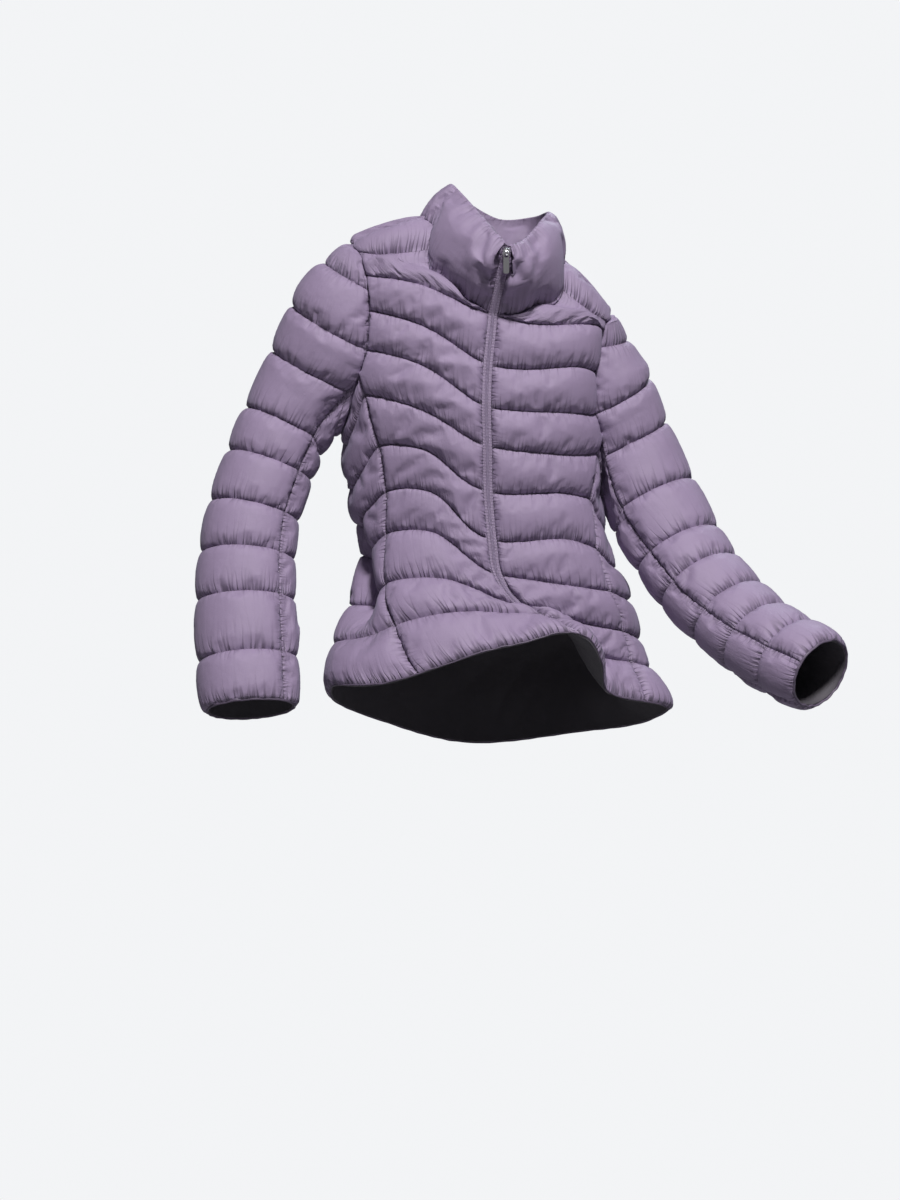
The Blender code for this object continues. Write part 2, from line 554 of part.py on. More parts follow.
def sleeve_panels(side, table, word):
    """The top sleeve with its cap, and the under sleeve."""
    arm = Sleeve(side, table)
    low = np.arange(CAP_BASE + 1 / STEPS, CUFF + 0.01, 1 / STEPS)
    settle = fade((low - CAP_BASE) / SEAM_SETTLE)
    front, back, under = (arm.holes[key] for key in ("front", "back", "under"))
    split = np.asarray(SLEEVE_SPLIT)
    shoulder = front[1][-1]

    # rows of the cap from just below the shoulder, then rows round the arm
    seam_front = np.concatenate([front[3][-2::-1], low + (front[3][0] - CAP_BASE) * settle])
    seam_back = np.concatenate([back[3][-2::-1], low + (back[3][0] - CAP_BASE) * settle])
    turn_front = np.concatenate([front[4][-2::-1], UNDER_ANGLE + (front[4][0] - UNDER_ANGLE) * settle])
    turn_back = np.concatenate([back[4][-2::-1], -UNDER_ANGLE + (back[4][0] + UNDER_ANGLE) * settle])
    seams = seam_front[:, None] + (seam_back - seam_front)[:, None] * split
    turns = turn_front[:, None] + (turn_back - turn_front)[:, None] * split
    points = arm.tube(seams, turns)
    cap = len(CAP_ROWS) - 1
    off_front = front[1][-2::-1] - points[:cap, 0]
    off_back = back[1][-2::-1] - points[:cap, -1]
    hold = fade((low - CAP_BASE) / CAP_HOLD)[:, None]
    off_front = np.concatenate([off_front, off_front[-1] * hold])
    off_back = np.concatenate([off_back, off_back[-1] * hold])
    near = fade(split / CAP_SHARE)[None, :, None]
    points = points + off_front[:, None] * near + off_back[:, None] * near[:, ::-1]
    ends = np.stack([points[0, 0], shoulder, points[0, -1]])
    points[0] = np.stack([np.interp(split, (0, 0.5, 1), ends[:, k]) for k in range(3)], -1)
    normals = arm.normal(seams, points)
    rows = np.concatenate([sleeve_row(CAP_ROWS[-2::-1]), low])
    kept = inside_rows(CAP_ROWS[-2::-1]) + [cap + i for i in inside_rows(low)]
    peak = unit(normals[0, len(split) // 2] + front[2][-1])
    for col, hole in ((0, front), (-1, back)):
        normals[:cap, col] = unit(normals[:cap, col] + hole[2][-2::-1])
        SEAM_NORMALS[(word, "front" if col == 0 else "back")] = np.vstack([normals[:cap, col][::-1], peak])
    ends = np.stack([normals[0, 0], peak, normals[0, -1]])
    normals[0] = np.stack([np.interp(split, (0, 0.5, 1), ends[:, k]) for k in range(3)], -1)
    seam_edge = {"front": (points[cap - 1:, 0].copy(), normals[cap - 1:, 0].copy()),
                 "back": (points[cap - 1:, -1].copy(), normals[cap - 1:, -1].copy())}
    top = pull_in(points, normals, True, False, True, True)
    padded_wall("top_sleeve_" + word, top, normals, rows, SHELL, SLEEVE_PUFF, TOP_ROUND, (0,), kept)

    # the under sleeve hangs from the bottom of the armhole
    low = np.concatenate([[CAP_BASE], low])
    settle = fade((low - CAP_BASE) / UNDER_SETTLE)[:, None]
    settle_turn = fade((low - CAP_BASE) / SEAM_SETTLE)[:, None]
    share = np.asarray(SIDE_SPLIT)[None, :]
    seams = low[:, None] + (under[3][None] - CAP_BASE) * settle
    straight = UNDER_ANGLE + (360 - 2 * UNDER_ANGLE) * share
    turns = straight + (under[4][None] - straight) * settle_turn
    points = arm.tube(seams, turns)
    points = points + (under[1] - points[0])[None] * fade((low - CAP_BASE) / UNDER_HOLD)[:, None, None]
    for col, key in ((0, "front"), (-1, "back")):
        edge = seam_edge[key][0]
        shift = edge - points[:, col]
        near = fade((share[0] if col == 0 else 1 - share[0]) / UNDER_SHIFT)
        points = points + shift[:, None] * near[None, :, None]
    normals = arm.normal(seams, points)
    normals[:, 0] = seam_edge["front"][1]
    normals[:, -1] = seam_edge["back"][1]
    normals[0, 1:-1] = unit(normals[0, 1:-1] + under[2][1:-1])
    SEAM_NORMALS[(word, "under")] = normals[0]
    moved = pull_in(points, normals, True, False, True, True)
    seam = under[1]
    PRESSED[word] = seam
    padded_wall("under_sleeve_" + word, moved, normals, low, SHELL, SLEEVE_PUFF * UNDER_SHARE,
                UNDER_ROUND, (0,), press=lambda grid, behind: pressed(grid, seam, side, 1, behind))
    sleeve_lining(arm, word)


# ---- body panels ----
def front_panel(side, word):
    split = np.asarray(FRONT_SPLIT)
    start = front_start()
    end = side_edge(MID_ROWS, True)
    low = coons(start[0] + (end[0] - start[0]) * split[:, None],
                start[-1] + (end[-1] - start[-1]) * split[:, None],
                start, end, MID_ROWS / NECK_POINT, split)
    part = (HIGH_ROWS - NECK_POINT) / (TOP - NECK_POINT)
    neck = neck_edge(1)
    arm = armhole_edge(HIGH_ROWS, True)
    high = coons(low[-1], neck[-1] + (arm[-1] - neck[-1]) * split[:, None], neck, arm, part, split)
    pairs = np.concatenate([low, high[1:]])
    rows = np.concatenate([MID_ROWS, HIGH_ROWS[1:]])
    pairs[..., 0] *= side
    points = body(pairs[..., 0], pairs[..., 1])
    normals = body_normal(pairs[..., 0], pairs[..., 1])
    first = int(CORNER * STEPS)
    normals[first:, -1] = SEAM_NORMALS[(word, "front")]
    normals[len(MID_ROWS) - 1:, 0] = SEAM_NORMALS[("neck", word)]
    moved = pull_in(points, normals, False, True, True, True)
    beside = np.abs(rows - SHOULDER_FLAT) / SHOULDER_FADE
    reach = EDGE_ROUND + SHOULDER_ROUND * fade(beside)[:, None]
    padded_wall("front_" + word, moved, normals, rows, SHELL, PUFF, reach)


def side_panel(side, word):
    split = np.asarray(SIDE_SPLIT)
    front, back = side_edge(LOW_ROWS, True), side_edge(LOW_ROWS, False)
    bottom_front, bottom_back = armhole_at(CORNER, True), armhole_at(CORNER, False)
    top = armhole(bottom_front + (bottom_back - bottom_front) * split)
    pairs = coons(front[0] + (back[0] - front[0]) * split[:, None], top, front, back,
                  (LOW_ROWS / CORNER) ** 2, split)
    pairs[..., 0] *= side
    points = body(pairs[..., 0], pairs[..., 1])
    normals = body_normal(pairs[..., 0], pairs[..., 1])
    normals[-1] = SEAM_NORMALS[(word, "under")]
    moved = pull_in(points, normals, False, True, True, True)
    seam = PRESSED[word]
    padded_wall("side_" + word, moved, normals, LOW_ROWS, SHELL, PUFF * SIDE_SHARE,
                ends=(-1,), press=lambda grid, behind: pressed(grid, seam, side, -1, behind))


def back_split():
    """Columns of the back: one shoulder, the neck, the other shoulder."""
    shoulder = BACK_SHOULDER * (1 - np.asarray(FRONT_SPLIT)[::-1])
    neck = BACK_SHOULDER + (1 - 2 * BACK_SHOULDER) * np.asarray(NECK_SPLIT)
    return np.concatenate([shoulder, neck[1:], (1 - shoulder[::-1])[1:]])


def back_panel():
    shoulder = np.asarray(FRONT_SPLIT)[::-1]
    low_split = back_split()
    left, right = side_edge(MID_ROWS, False), mirrored(side_edge(MID_ROWS, False)) + [360, 0]
    low = coons(left[0] + (right[0] - left[0]) * low_split[:, None],
                left[-1] + (right[-1] - left[-1]) * low_split[:, None],
                left, right, MID_ROWS / NECK_POINT, low_split)
    arm = armhole_edge([TOP], False)[0]
    neck = smooth(NECK_BACK, NECK_SPLIT)
    over = neck[0] + (arm - neck[0]) * shoulder[:, None]
    top = np.concatenate([over, neck[1:], (mirrored(over) + [360, 0])[::-1][1:]])
    part = (HIGH_ROWS - NECK_POINT) / (TOP - NECK_POINT)
    left, right = armhole_edge(HIGH_ROWS, False), mirrored(armhole_edge(HIGH_ROWS, False)) + [360, 0]
    high = coons(low[-1], top, left, right, part, low_split)
    pairs = np.concatenate([low, high[1:]])
    rows = np.concatenate([MID_ROWS, HIGH_ROWS[1:]])
    points = body(pairs[..., 0], pairs[..., 1])
    normals = body_normal(pairs[..., 0], pairs[..., 1])
    first = int(CORNER * STEPS)
    normals[first:, 0] = SEAM_NORMALS[("left", "back")]
    normals[first:, -1] = SEAM_NORMALS[("right", "back")]
    at = len(shoulder) - 1
    normals[-1, at:at + len(NECK_SPLIT)] = SEAM_NORMALS[("neck", "back")]
    moved = pull_in(points, normals, False, True, True, True)
    padded_wall("back", moved, normals, rows, SHELL, PUFF)


# ---- collar and zip ----
def collar():
    """The stand collar, from the zip round the back to the zip again; returns its front edges."""
    back = smooth(NECK_BACK, NECK_SPLIT)
    left, right = neck_edge(1), neck_edge(-1)[::-1] + [360, 0]
    pairs = np.concatenate([left, back[1:], right[1:]])
    base = body(pairs[:, 0], pairs[:, 1])
    run = np.concatenate([[0], np.cumsum(np.linalg.norm(np.diff(base, axis=0), axis=1))])
    turn = run / run[-1]
    top = smooth(COLLAR_TOP, turn)
    across = unit(base[0] - base[-1])
    top[0] += across * TAPE_HALF
    top[-1] -= across * TAPE_HALF
    part = np.linspace(0, 1, COLLAR_STEPS + 1)[:, None, None]
    points = base[None] + (top - base)[None] * part
    middle = points.mean(axis=1, keepdims=True)
    outward = points - middle
    outward[..., 2] = 0
    points = points + unit(outward) * COLLAR_BULGE * np.sin(pi * part) * collar_ease(turn)
    along = np.gradient(points, axis=1)
    up = np.gradient(points, axis=0)
    normals = unit(np.cross(along, up))
    facing = unit(np.cross(points[:, 0] - points[:, -1], up[:, 0] + up[:, -1]))
    normals[:, 0] = facing
    normals[:, -1] = facing
    normals[0] = unit(normals[0] + body_normal(pairs[:, 0], pairs[:, 1]))
    first, last = len(left) - 1, len(left) + len(back) - 2
    SEAM_NORMALS[("neck", "left")] = normals[0, :first + 1]
    SEAM_NORMALS[("neck", "back")] = normals[0, first:last + 1]
    SEAM_NORMALS[("neck", "right")] = normals[0, last:][::-1]
    rise = np.sin(pi * part[:, 0, 0]) ** COLLAR_FULL
    beside = edge_rise(distance_along(points), COLLAR_ROUND)
    height = (COLLAR_HALF + COLLAR_PUFF * rise[:, None] * beside)[..., None]
    moved = pull_in(points, normals, True, False, True, True)
    wall("collar", moved + normals * height, moved - normals * height * COLLAR_INSIDE, SHELL)
    return (points[:, 0], facing), (points[:, -1], facing)


def collar_ease(turn):
    """The bulge dies away towards the zip."""
    return np.minimum(1, np.minimum(turn, 1 - turn) / COLLAR_EASE)[None, :, None]


def zip_tape(side, word, edge, other):
    """One of the two tapes, from the hem up through the collar."""
    rows = MID_ROWS
    inner = np.stack([from_zip(rows, GAP / 2) * side, rows], -1)
    outer = np.stack([from_zip(rows, TAPE_HALF - 2 * GAP) * side, rows], -1)
    low = np.stack([body(inner[:, 0], inner[:, 1]), body(outer[:, 0], outer[:, 1])], 1)
    low_normal = np.stack([body_normal(inner[:, 0], inner[:, 1])] * 2, 1)
    middle = (edge[0] + other[0]) / 2
    across = unit(edge[0] - other[0])
    high = np.stack([middle + across * GAP / 2, middle + across * (TAPE_HALF - GAP)], 1)
    high_normal = np.stack([unit(edge[1] + other[1])] * 2, 1)
    low[-1] = (low[-1] + high[0]) / 2
    points = np.concatenate([low, high[1:]])
    normals = np.concatenate([low_normal, high_normal[1:]])
    half = TAPE_WALL / 2
    kept = inside_rows(rows) + list(range(len(rows), len(points)))
    wall("zip_tape_" + word, points + normals * half, points - normals * half, TAPE_CLOTH, kept)
    return middle[-1], unit(middle[-1] - middle[-2]), high_normal[-1, 0]


def prism(outline, hole, thickness):
    """A flat outline of (u, w) points, with an optional hole, drawn out along v."""
    bm = bmesh.new()
    half = thickness / 2
    loops = []
    for v in (-half, half):
        loops.append([[bm.verts.new((u, v, w)) for u, w in ring] for ring in (outline, hole) if ring])
    low, high = loops
    for a, b in zip(low, high):
        for k in range(len(a)):
            n = (k + 1) % len(a)
            bm.faces.new((a[k], a[n], b[n], b[k]))
    for rings in loops:
        if hole:
            edges = [bm.edges.get((r[k], r[(k + 1) % len(r)])) for r in rings for k in range(len(r))]
            bmesh.ops.triangle_fill(bm, edges=edges, use_beauty=True)
        else:
            bm.faces.new(rings[0])
    bmesh.ops.triangulate(bm, faces=bm.faces)
    return bm


def rounded(width, low, high, radius, steps=3):
    """A rectangle from low to high, rounded at its corners."""
    ring = []
    for sx, z, first in ((1, high, 0), (-1, high, 90), (-1, low, 180), (1, low, 270)):
        for k in range(steps + 1):
            a = np.radians(first + 90 * k / steps)
            cz = z - radius if z == high else z + radius
            ring.append((sx * (width / 2 - radius) + radius * np.cos(a), cz + radius * np.sin(a)))
    return ring


def place(obj, origin, across, out, up):
    """Put an object modelled in (across, out, up) at its place, its origin kept on it."""
    rotation = np.stack([across, out, up], 1)
    for vertex in obj.data.vertices:
        vertex.co = Vector(rotation @ np.array(vertex.co))
    obj.location = Vector(origin)


def slider_and_pull(top, up, normal):
    """The slider sits on the closed tapes below the collar's top edge; the pull hangs from it."""
    across = unit(np.cross(normal, up))
    out = np.cross(up, across)
    width, length, thick = SLIDER
    seat = top - up * (length / 2 + SLIDER_DROP) + out * (TAPE_WALL / 2 + GAP)
    bm = prism(rounded(width, -length / 2, length / 2, width * 0.3), None, thick)
    bmesh.ops.translate(bm, verts=bm.verts, vec=(0, thick / 2, 0))
    slider = add_object("zip_slider", bm, BRIGHT)
    arch_width, arch_length, rise, bar = ARCH
    outer, inner = arch_length / 2, arch_length / 2 - bar
    side_view = [(-outer, -ARCH_SUNK), (-outer, rise - bar), (-outer + bar, rise), (outer - bar, rise),
                 (outer, rise - bar), (outer, -ARCH_SUNK), (inner, -ARCH_SUNK), (inner, rise - bar),
                 (-inner, rise - bar), (-inner, -ARCH_SUNK)]
    bm = prism(side_view, None, arch_width)
    for vertex in bm.verts:
        along, off, high = vertex.co
        vertex.co = (off, thick + high, along)
    bridge = add_object("bridge", bm, BRIGHT)
    join = slider.modifiers.new("bridge", "BOOLEAN")
    join.operation = "UNION"
    join.object = bridge
    bpy.context.view_layer.update()
    joined = slider.evaluated_get(bpy.context.evaluated_depsgraph_get())
    mesh = bpy.data.meshes.new_from_object(joined)
    slider.modifiers.clear()
    slider.data = mesh
    bpy.data.objects.remove(bridge, do_unlink=True)
    place(slider, seat, across, out, up)

    axis = seat + out * (thick + (rise - bar) / 2)
    width, length, thick = PULL
    eye_width, eye_length = EYE
    bm = prism(rounded(width, -length, thick / 2, width * 0.28),
               rounded(eye_width, -thick / 2 - eye_length, -thick / 2, eye_width * 0.2)[::-1], thick)
    pull = add_object("zip_pull", bm, BRIGHT)
    down = np.array([0.0, 0.0, 1.0])
    level = unit(np.cross(down, out))
    place(pull, axis, level, np.cross(down, level), down)


# ---- lining ----
def lining_panel(name, angles, levels):
    """A thin skin inside the shell, on the columns given; sewn to it at the hem."""
    levels = np.asarray(levels, float)
    pairs = np.stack([angles, np.repeat(levels[:, None], angles.shape[1], 1)], -1)
    hang_lining(name, body(pairs[..., 0], pairs[..., 1]), body_normal(pairs[..., 0], pairs[..., 1]),
                levels[:, None])


def hang_lining(name, points, normals, above):
    """A skin that falls away from the shell's inside within one channel of the edge."""
    drop = SEAM_HALF + GAP + LINING_DROP * (1 - fade(above))
    outer = points - normals * drop[..., None]
    inner = outer - normals * LINING_WALL
    for grid in (outer, inner):
        grid[:] = pull_in(grid, normals, False, False, True, True)
    wall(name, outer, inner, DARK)


def sleeve_lining(arm, word):
    """The lining's end inside a cuff, one piece with its seam under the arm."""
    seams = np.arange(CUFF, CUFF_LINING - LINING_STEP / 2, -LINING_STEP)
    over = UNDER_ANGLE * (2 * np.asarray(SLEEVE_SPLIT) - 1)
    below = UNDER_ANGLE + (360 - 2 * UNDER_ANGLE) * np.asarray(SIDE_SPLIT)
    turns = np.concatenate([over, below[1:]]) * arm.side
    seams = np.repeat(seams[:, None], len(turns), 1)
    points = arm.tube(seams, np.repeat(turns[None] * arm.side, len(seams), 0))
    normals = arm.normal(seams, points)
    hang_lining("lining_sleeve_" + word, points, normals, (CUFF - seams)[:, :1])


def body_lining():
    levels = np.asarray(LINING_ROWS, float)
    zip_edge = from_zip(levels, TAPE_HALF)
    front, back = smooth(FRONT_SEAM, levels)[:, 0], smooth(BACK_SEAM, levels)[:, 0]
    ahead = zip_edge[:, None] + (front - zip_edge)[:, None] * np.asarray(FRONT_SPLIT)
    beside = front[:, None] + (back - front)[:, None] * np.asarray(SIDE_SPLIT)[1:]
    half = np.concatenate([ahead, beside], 1)
    lining_panel("lining_front_left", half, levels)
    lining_panel("lining_front_right", -half, levels)
    behind = back[:, None] + (360 - 2 * back)[:, None] * back_split()
    lining_panel("lining_back", behind, levels)


# ---- build ----
SHELL = material("shell fabric", PURPLE, 0.42)
DARK = material("lining fabric", LINING, 0.5)
TAPE_CLOTH = material("zip tape", TAPE, 0.7)
BRIGHT = material("zip metal", METAL, 0.35, 1.0)

sleeve_panels(+1, LEFT_SLEEVE, "left")
sleeve_panels(-1, RIGHT_SLEEVE, "right")
edge_left, edge_right = collar()
front_panel(+1, "left")
front_panel(-1, "right")
side_panel(+1, "left")
side_panel(-1, "right")
back_panel()
zip_tape(+1, "left", edge_left, edge_right)
zip_top, zip_up, zip_out = zip_tape(-1, "right", edge_right, edge_left)
slider_and_pull(zip_top, zip_up, zip_out)
body_lining()
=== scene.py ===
"""A light down jacket with a stand collar and a front zip, standing as if it were worn."""
from collections import namedtuple
from math import pi

import bpy
import numpy as np
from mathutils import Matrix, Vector


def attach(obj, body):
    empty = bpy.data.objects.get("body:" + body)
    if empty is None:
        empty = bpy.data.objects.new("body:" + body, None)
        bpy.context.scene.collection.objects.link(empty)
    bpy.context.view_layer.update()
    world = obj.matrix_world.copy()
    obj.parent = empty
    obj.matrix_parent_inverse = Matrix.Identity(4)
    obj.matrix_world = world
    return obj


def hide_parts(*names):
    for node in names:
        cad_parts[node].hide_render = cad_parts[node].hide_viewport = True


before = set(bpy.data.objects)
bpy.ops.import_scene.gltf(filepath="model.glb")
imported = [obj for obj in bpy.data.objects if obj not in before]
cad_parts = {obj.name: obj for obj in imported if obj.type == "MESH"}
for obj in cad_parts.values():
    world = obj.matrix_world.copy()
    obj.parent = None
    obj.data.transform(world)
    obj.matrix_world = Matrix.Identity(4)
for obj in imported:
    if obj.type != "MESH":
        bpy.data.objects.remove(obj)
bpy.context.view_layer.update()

scene = bpy.context.scene


# ---- studio: camera, backdrop and light ----
# The jacket floats well above a plain pale sweep, a round floor that turns up into its own wall.
# One large softbox stands high in front of it, with a weak one behind and a dim room around.
CAMERA_AT = (-0.06204, -4.0, -0.44616)
VIEW_HEIGHT = 1.584      # metres of the jacket's own plane that fill the frame
SENSOR = 24.0
lens = bpy.data.cameras.new("studio_camera")
lens.sensor_fit = "VERTICAL"
lens.sensor_height = SENSOR
lens.lens = SENSOR * -CAMERA_AT[1] / VIEW_HEIGHT
lens.clip_start = 0.01
camera = bpy.data.objects.new("studio_camera", lens)
camera.location = CAMERA_AT
camera.rotation_euler = (pi / 2, 0, 0)
scene.collection.objects.link(camera)
scene.camera = camera
scene.view_settings.view_transform = "Standard"


def add_mesh(name, points, faces):
    """Put a smooth mesh of these points and faces in the scene."""
    mesh = bpy.data.meshes.new(name)
    mesh.from_pydata(np.asarray(points).reshape(-1, 3).tolist(), [], faces)
    mesh.update()
    mesh.shade_smooth()
    made = bpy.data.objects.new(name, mesh)
    scene.collection.objects.link(made)
    return made


def grid_faces(rows, cols, closed=False):
    """Four-sided faces over a grid of points whose rows climb and columns run to the right."""
    at = np.arange(rows * cols).reshape(rows, cols)
    if closed:
        at = np.hstack([at, at[:, :1]])
    return np.stack([at[:-1, :-1], at[:-1, 1:], at[1:, 1:], at[1:, :-1]], -1).reshape(-1, 4)


FLOOR_LEVEL = -1.75
SWEEP = ((0.02, 0.0), (3.0, 0.0), (6.0, 0.0), (7.6, 0.25),      # radius and height of the paper
         (8.8, 1.0), (9.6, 2.3), (10.0, 4.2), (10.1, 9.0))
ring = np.radians(np.arange(0, 360, 5))
sweep = np.array([[(r * np.cos(a), r * np.sin(a), FLOOR_LEVEL + z) for a in ring] for r, z in SWEEP])
backdrop = add_mesh("backdrop", sweep, grid_faces(len(SWEEP), len(ring), True).tolist())
paper = bpy.data.materials.new("pale paper")
paper.use_nodes = True
nodes, links = paper.node_tree.nodes, paper.node_tree.links
sheet = nodes["Principled BSDF"]
sheet.inputs["Base Color"].default_value = (0.30, 0.30, 0.31, 1)
sheet.inputs["Roughness"].default_value = 0.9
glow = nodes.new("ShaderNodeEmission")
glow.inputs["Color"].default_value = (0.895, 0.905, 0.92, 1)
seen = nodes.new("ShaderNodeLightPath")
either = nodes.new("ShaderNodeMixShader")
links.new(seen.outputs["Is Camera Ray"], either.inputs[0])
links.new(sheet.outputs[0], either.inputs[1])
links.new(glow.outputs[0], either.inputs[2])
links.new(either.outputs[0], nodes["Material Output"].inputs[0])
backdrop.data.materials.append(paper)

room = bpy.data.worlds.new("dim room")
room.use_nodes = True
room.node_tree.nodes["Background"].inputs[0].default_value = (0.86, 0.90, 1.0, 1)
room.node_tree.nodes["Background"].inputs[1].default_value = 0.08
scene.world = room


def softbox(name, place, aim, size, watts, colour):
    """A round softbox of this size in metres that points at a place."""
    box = bpy.data.lights.new(name, "AREA")
    box.shape = "DISK"
    box.size = size
    box.energy = watts
    box.color = colour
    made = bpy.data.objects.new(name, box)
    made.location = place
    made.rotation_euler = (Vector(aim) - Vector(place)).to_track_quat("-Z", "Y").to_euler()
    scene.collection.objects.link(made)


softbox("key_softbox", (0.5, -4.4, 4.5), (-0.02, 0.0, -0.35), 1.0, 505, (1.0, 0.98, 0.96))
softbox("rim_softbox", (1.2, 2.6, 2.6), (0.0, 0.0, -0.3), 1.6, 45, (0.85, 0.90, 1.0))


# ---- sleeves ----
# Each sleeve is an upper panel with its cap and a narrow under panel, two layers of thin nylon
# over down. Quilting seams run round the arm and the down swells between them; the sleeve is
# set into the armhole and joined down the arm by two plain seams.
GAP = 0.0004             # clearance beside a seam
SEAM_HALF = 0.0011       # half the wall where it is sewn flat
SLEEVE_PUFF = 0.0080     # rise of a full sleeve channel above its seams
EDGE_ROUND = 0.011       # width over which a puff rises from a seam along a panel's side
TOP_ROUND = 0.013
UNDER_ROUND = 0.015
SIDE_SHARE = 0.85        # rise of the side panels' and under sleeves' puffs, as shares
UNDER_SHARE = 0.7
ROOM_SHARE = 0.7         # share of the room beside a seam that a puff may fill
ARM_SLOPE = {+1: 0.19, -1: 0.35}    # how fast the face between arm and body slants outward
PRESS_REACH = {+1: 0.13, -1: 0.07}  # how far below the armhole they touch
PRESS_OPEN = 0.1         # how fast they part below its bottom, and up to how far
PRESS_GAP = 0.0012
STEPS = 20               # rows of threads drawn in each channel
SQUARE = 0.035           # how far the body's section is from an ellipse

DIP_REACH = 70           # degrees on each side of the zip over which its seams dip
DIP_SHARP = 1.5
TURN_STEP = 1.5          # degrees and levels over which the body's slope is taken
LEVEL_STEP = 0.3
FULLEST = 0.92           # below 1, a channel is fullest a little below its middle
BOXY = 2.2               # how square a channel's section is

# the body: one row for each quilting seam, counted up from the hem;
# level, x, y, z of the middle, half width, depth to front and back (metres), then degrees:
# roll (the wearer's left side lower), lean (front lower), turn of the zip to the wearer's left,
# and how far the seam dips at the zip (metres)
BODY = (
    # level     x       y       z    half   front   back  roll  lean turn  dip
    (0.0,    0.001,  0.012, -0.578, 0.224, 0.150, 0.101,   1, -33,  25, 0.000),
    (1.0,   -0.007,  0.040, -0.521, 0.205, 0.125, 0.104,   4, -27,  19, 0.000),
    (2.0,   -0.003,  0.058, -0.471, 0.190, 0.112, 0.104,   7, -11,   9, 0.000),
    (3.0,   -0.004,  0.064, -0.405, 0.177, 0.106, 0.104,  10,   3,   2, 0.002),
    (4.0,   -0.018,  0.064, -0.348, 0.171, 0.106, 0.106,  12,   7,   5, 0.004),
    (5.0,   -0.029,  0.060, -0.272, 0.169, 0.107, 0.108,  13,  12,   8, 0.006),
    (6.0,   -0.030,  0.050, -0.200, 0.176, 0.106, 0.108,  14.5, 14,  9, 0.015),
    (7.0,   -0.030,  0.040, -0.146, 0.177, 0.102, 0.104,  15.5, 15,  9, 0.017),
    (8.0,   -0.029,  0.031, -0.096, 0.177, 0.095, 0.099,  16,  15,   9, 0.014),
    (9.0,   -0.025,  0.021, -0.042, 0.176, 0.086, 0.090,  16,  15,   9, 0.008),
    (10.0,  -0.022,  0.013, -0.028, 0.175, 0.068, 0.074,  16,  14,   6, 0.000),
    (10.5,  -0.020,  0.009, -0.022, 0.173, 0.056, 0.062,  16,  14,   6, 0.000),
    (11.0,  -0.011,  0.004,  0.003, 0.135, 0.046, 0.050,  17,  14,   6, 0.000),
    (11.4,  -0.003,  0.000,  0.030, 0.091, 0.034, 0.036,  18,  12,   6, 0.000),
)

# the largest folds of the body: angle and level of the middle, reach before and after it in
# degrees, below and above in levels, then how far the cloth lies inward there and how far down
# (metres)
FOLDS = (
    # angle level before after below above inward  down
    (30,    0.0,   26,   62,  1.0,  3.2,  0.050, 0.022),    # hem of the left front hangs back
    (-82,   1.8,   23,   32,  1.3,  1.6,  0.034, 0.000),    # deep fold behind the right front
    (-85,   2.6,   17,   17,  1.6,  1.5,  0.044, 0.000),
    (-32,   3.4,   58,   32,  3.0,  3.3,  0.000, -0.041),   # the right front's seams bow up
    (-32,   7.2,   50,   34,  2.4,  3.2,  0.000, -0.020),
    (34,    4.4,   32,   40,  1.6,  1.4,  0.000, -0.019),   # and a little of the left's
    (-62,   0.0,   50,   55,  1.0,  1.9,  0.000, 0.043),    # the right hem hangs at the side
    (0,     0.0,   20,   14,  1.0,  0.9,  0.000, -0.016),   # and is lifted at the zip
    (-38,   1.2,   36,   26,  1.5,  1.6, -0.012, 0.000),    # the right front swings out beside it
    (-100,  4.9,   42,   55,  2.2,  1.6,  0.000, 0.022),    # the right side sags under the arm
    (92,    5.2,   34,   55,  2.0,  1.6,  0.000, 0.014),    # and the left side
    (-150,  0.0,   46,   50,  1.0,  3.0,  0.012, -0.006),   # the back hem runs straighter
    (120,   0.0,   34,   50,  1.0,  2.6,  0.016, 0.000),
    (160,   0.0,   45,   40,  1.0,  2.0,  0.000, 0.007),
    (66,    0.2,   26,   24,  1.0,  1.8, -0.022, -0.004),   # corner at the hem's left side
    (36,    8.2,   30,   26,  2.2,  1.2, -0.006, -0.012),   # the left chest is pushed up
    (62,    8.0,   12,   12,  1.4,  1.6,  0.008, 0.004),    # groove along the left armhole
    (-66,   9.0,   30,   34,  0.9,  0.8,  0.000, 0.009),    # the top channel is wide at the shoulder
    (50,    8.8,   34,   38,  1.5,  1.0,  0.000, -0.012),
    (-34,   4.8,   45,   26,  1.6,  1.4,  0.000, -0.009),
)

# seams of the body, as level and angle from the zip
FRONT_SEAM = ((0.0, 52), (2.0, 57), (4.0, 54), (5.2, 56), (6.5, 65))
BACK_SEAM = ((0.0, 128), (2.0, 124), (4.0, 126), (5.2, 123), (6.5, 117))
ARMHOLE = (   # turn round the armhole from the shoulder over the front, angle, level
    (0.00, 90, 10.50), (0.08, 76, 10.15), (0.15, 67, 9.60), (0.22, 61.5, 8.80),
    (0.29, 59.5, 8.00), (0.36, 60.5, 7.15), (0.42, 65, 6.50), (0.46, 74, 5.85),
    (0.50, 90, 5.55), (0.54, 107, 5.85), (0.58, 117, 6.50), (0.65, 121.5, 7.30),
    (0.72, 121.5, 8.20), (0.79, 117, 9.05), (0.87, 109, 9.75), (0.94, 99, 10.25), (1.00, 90, 10.50),
)
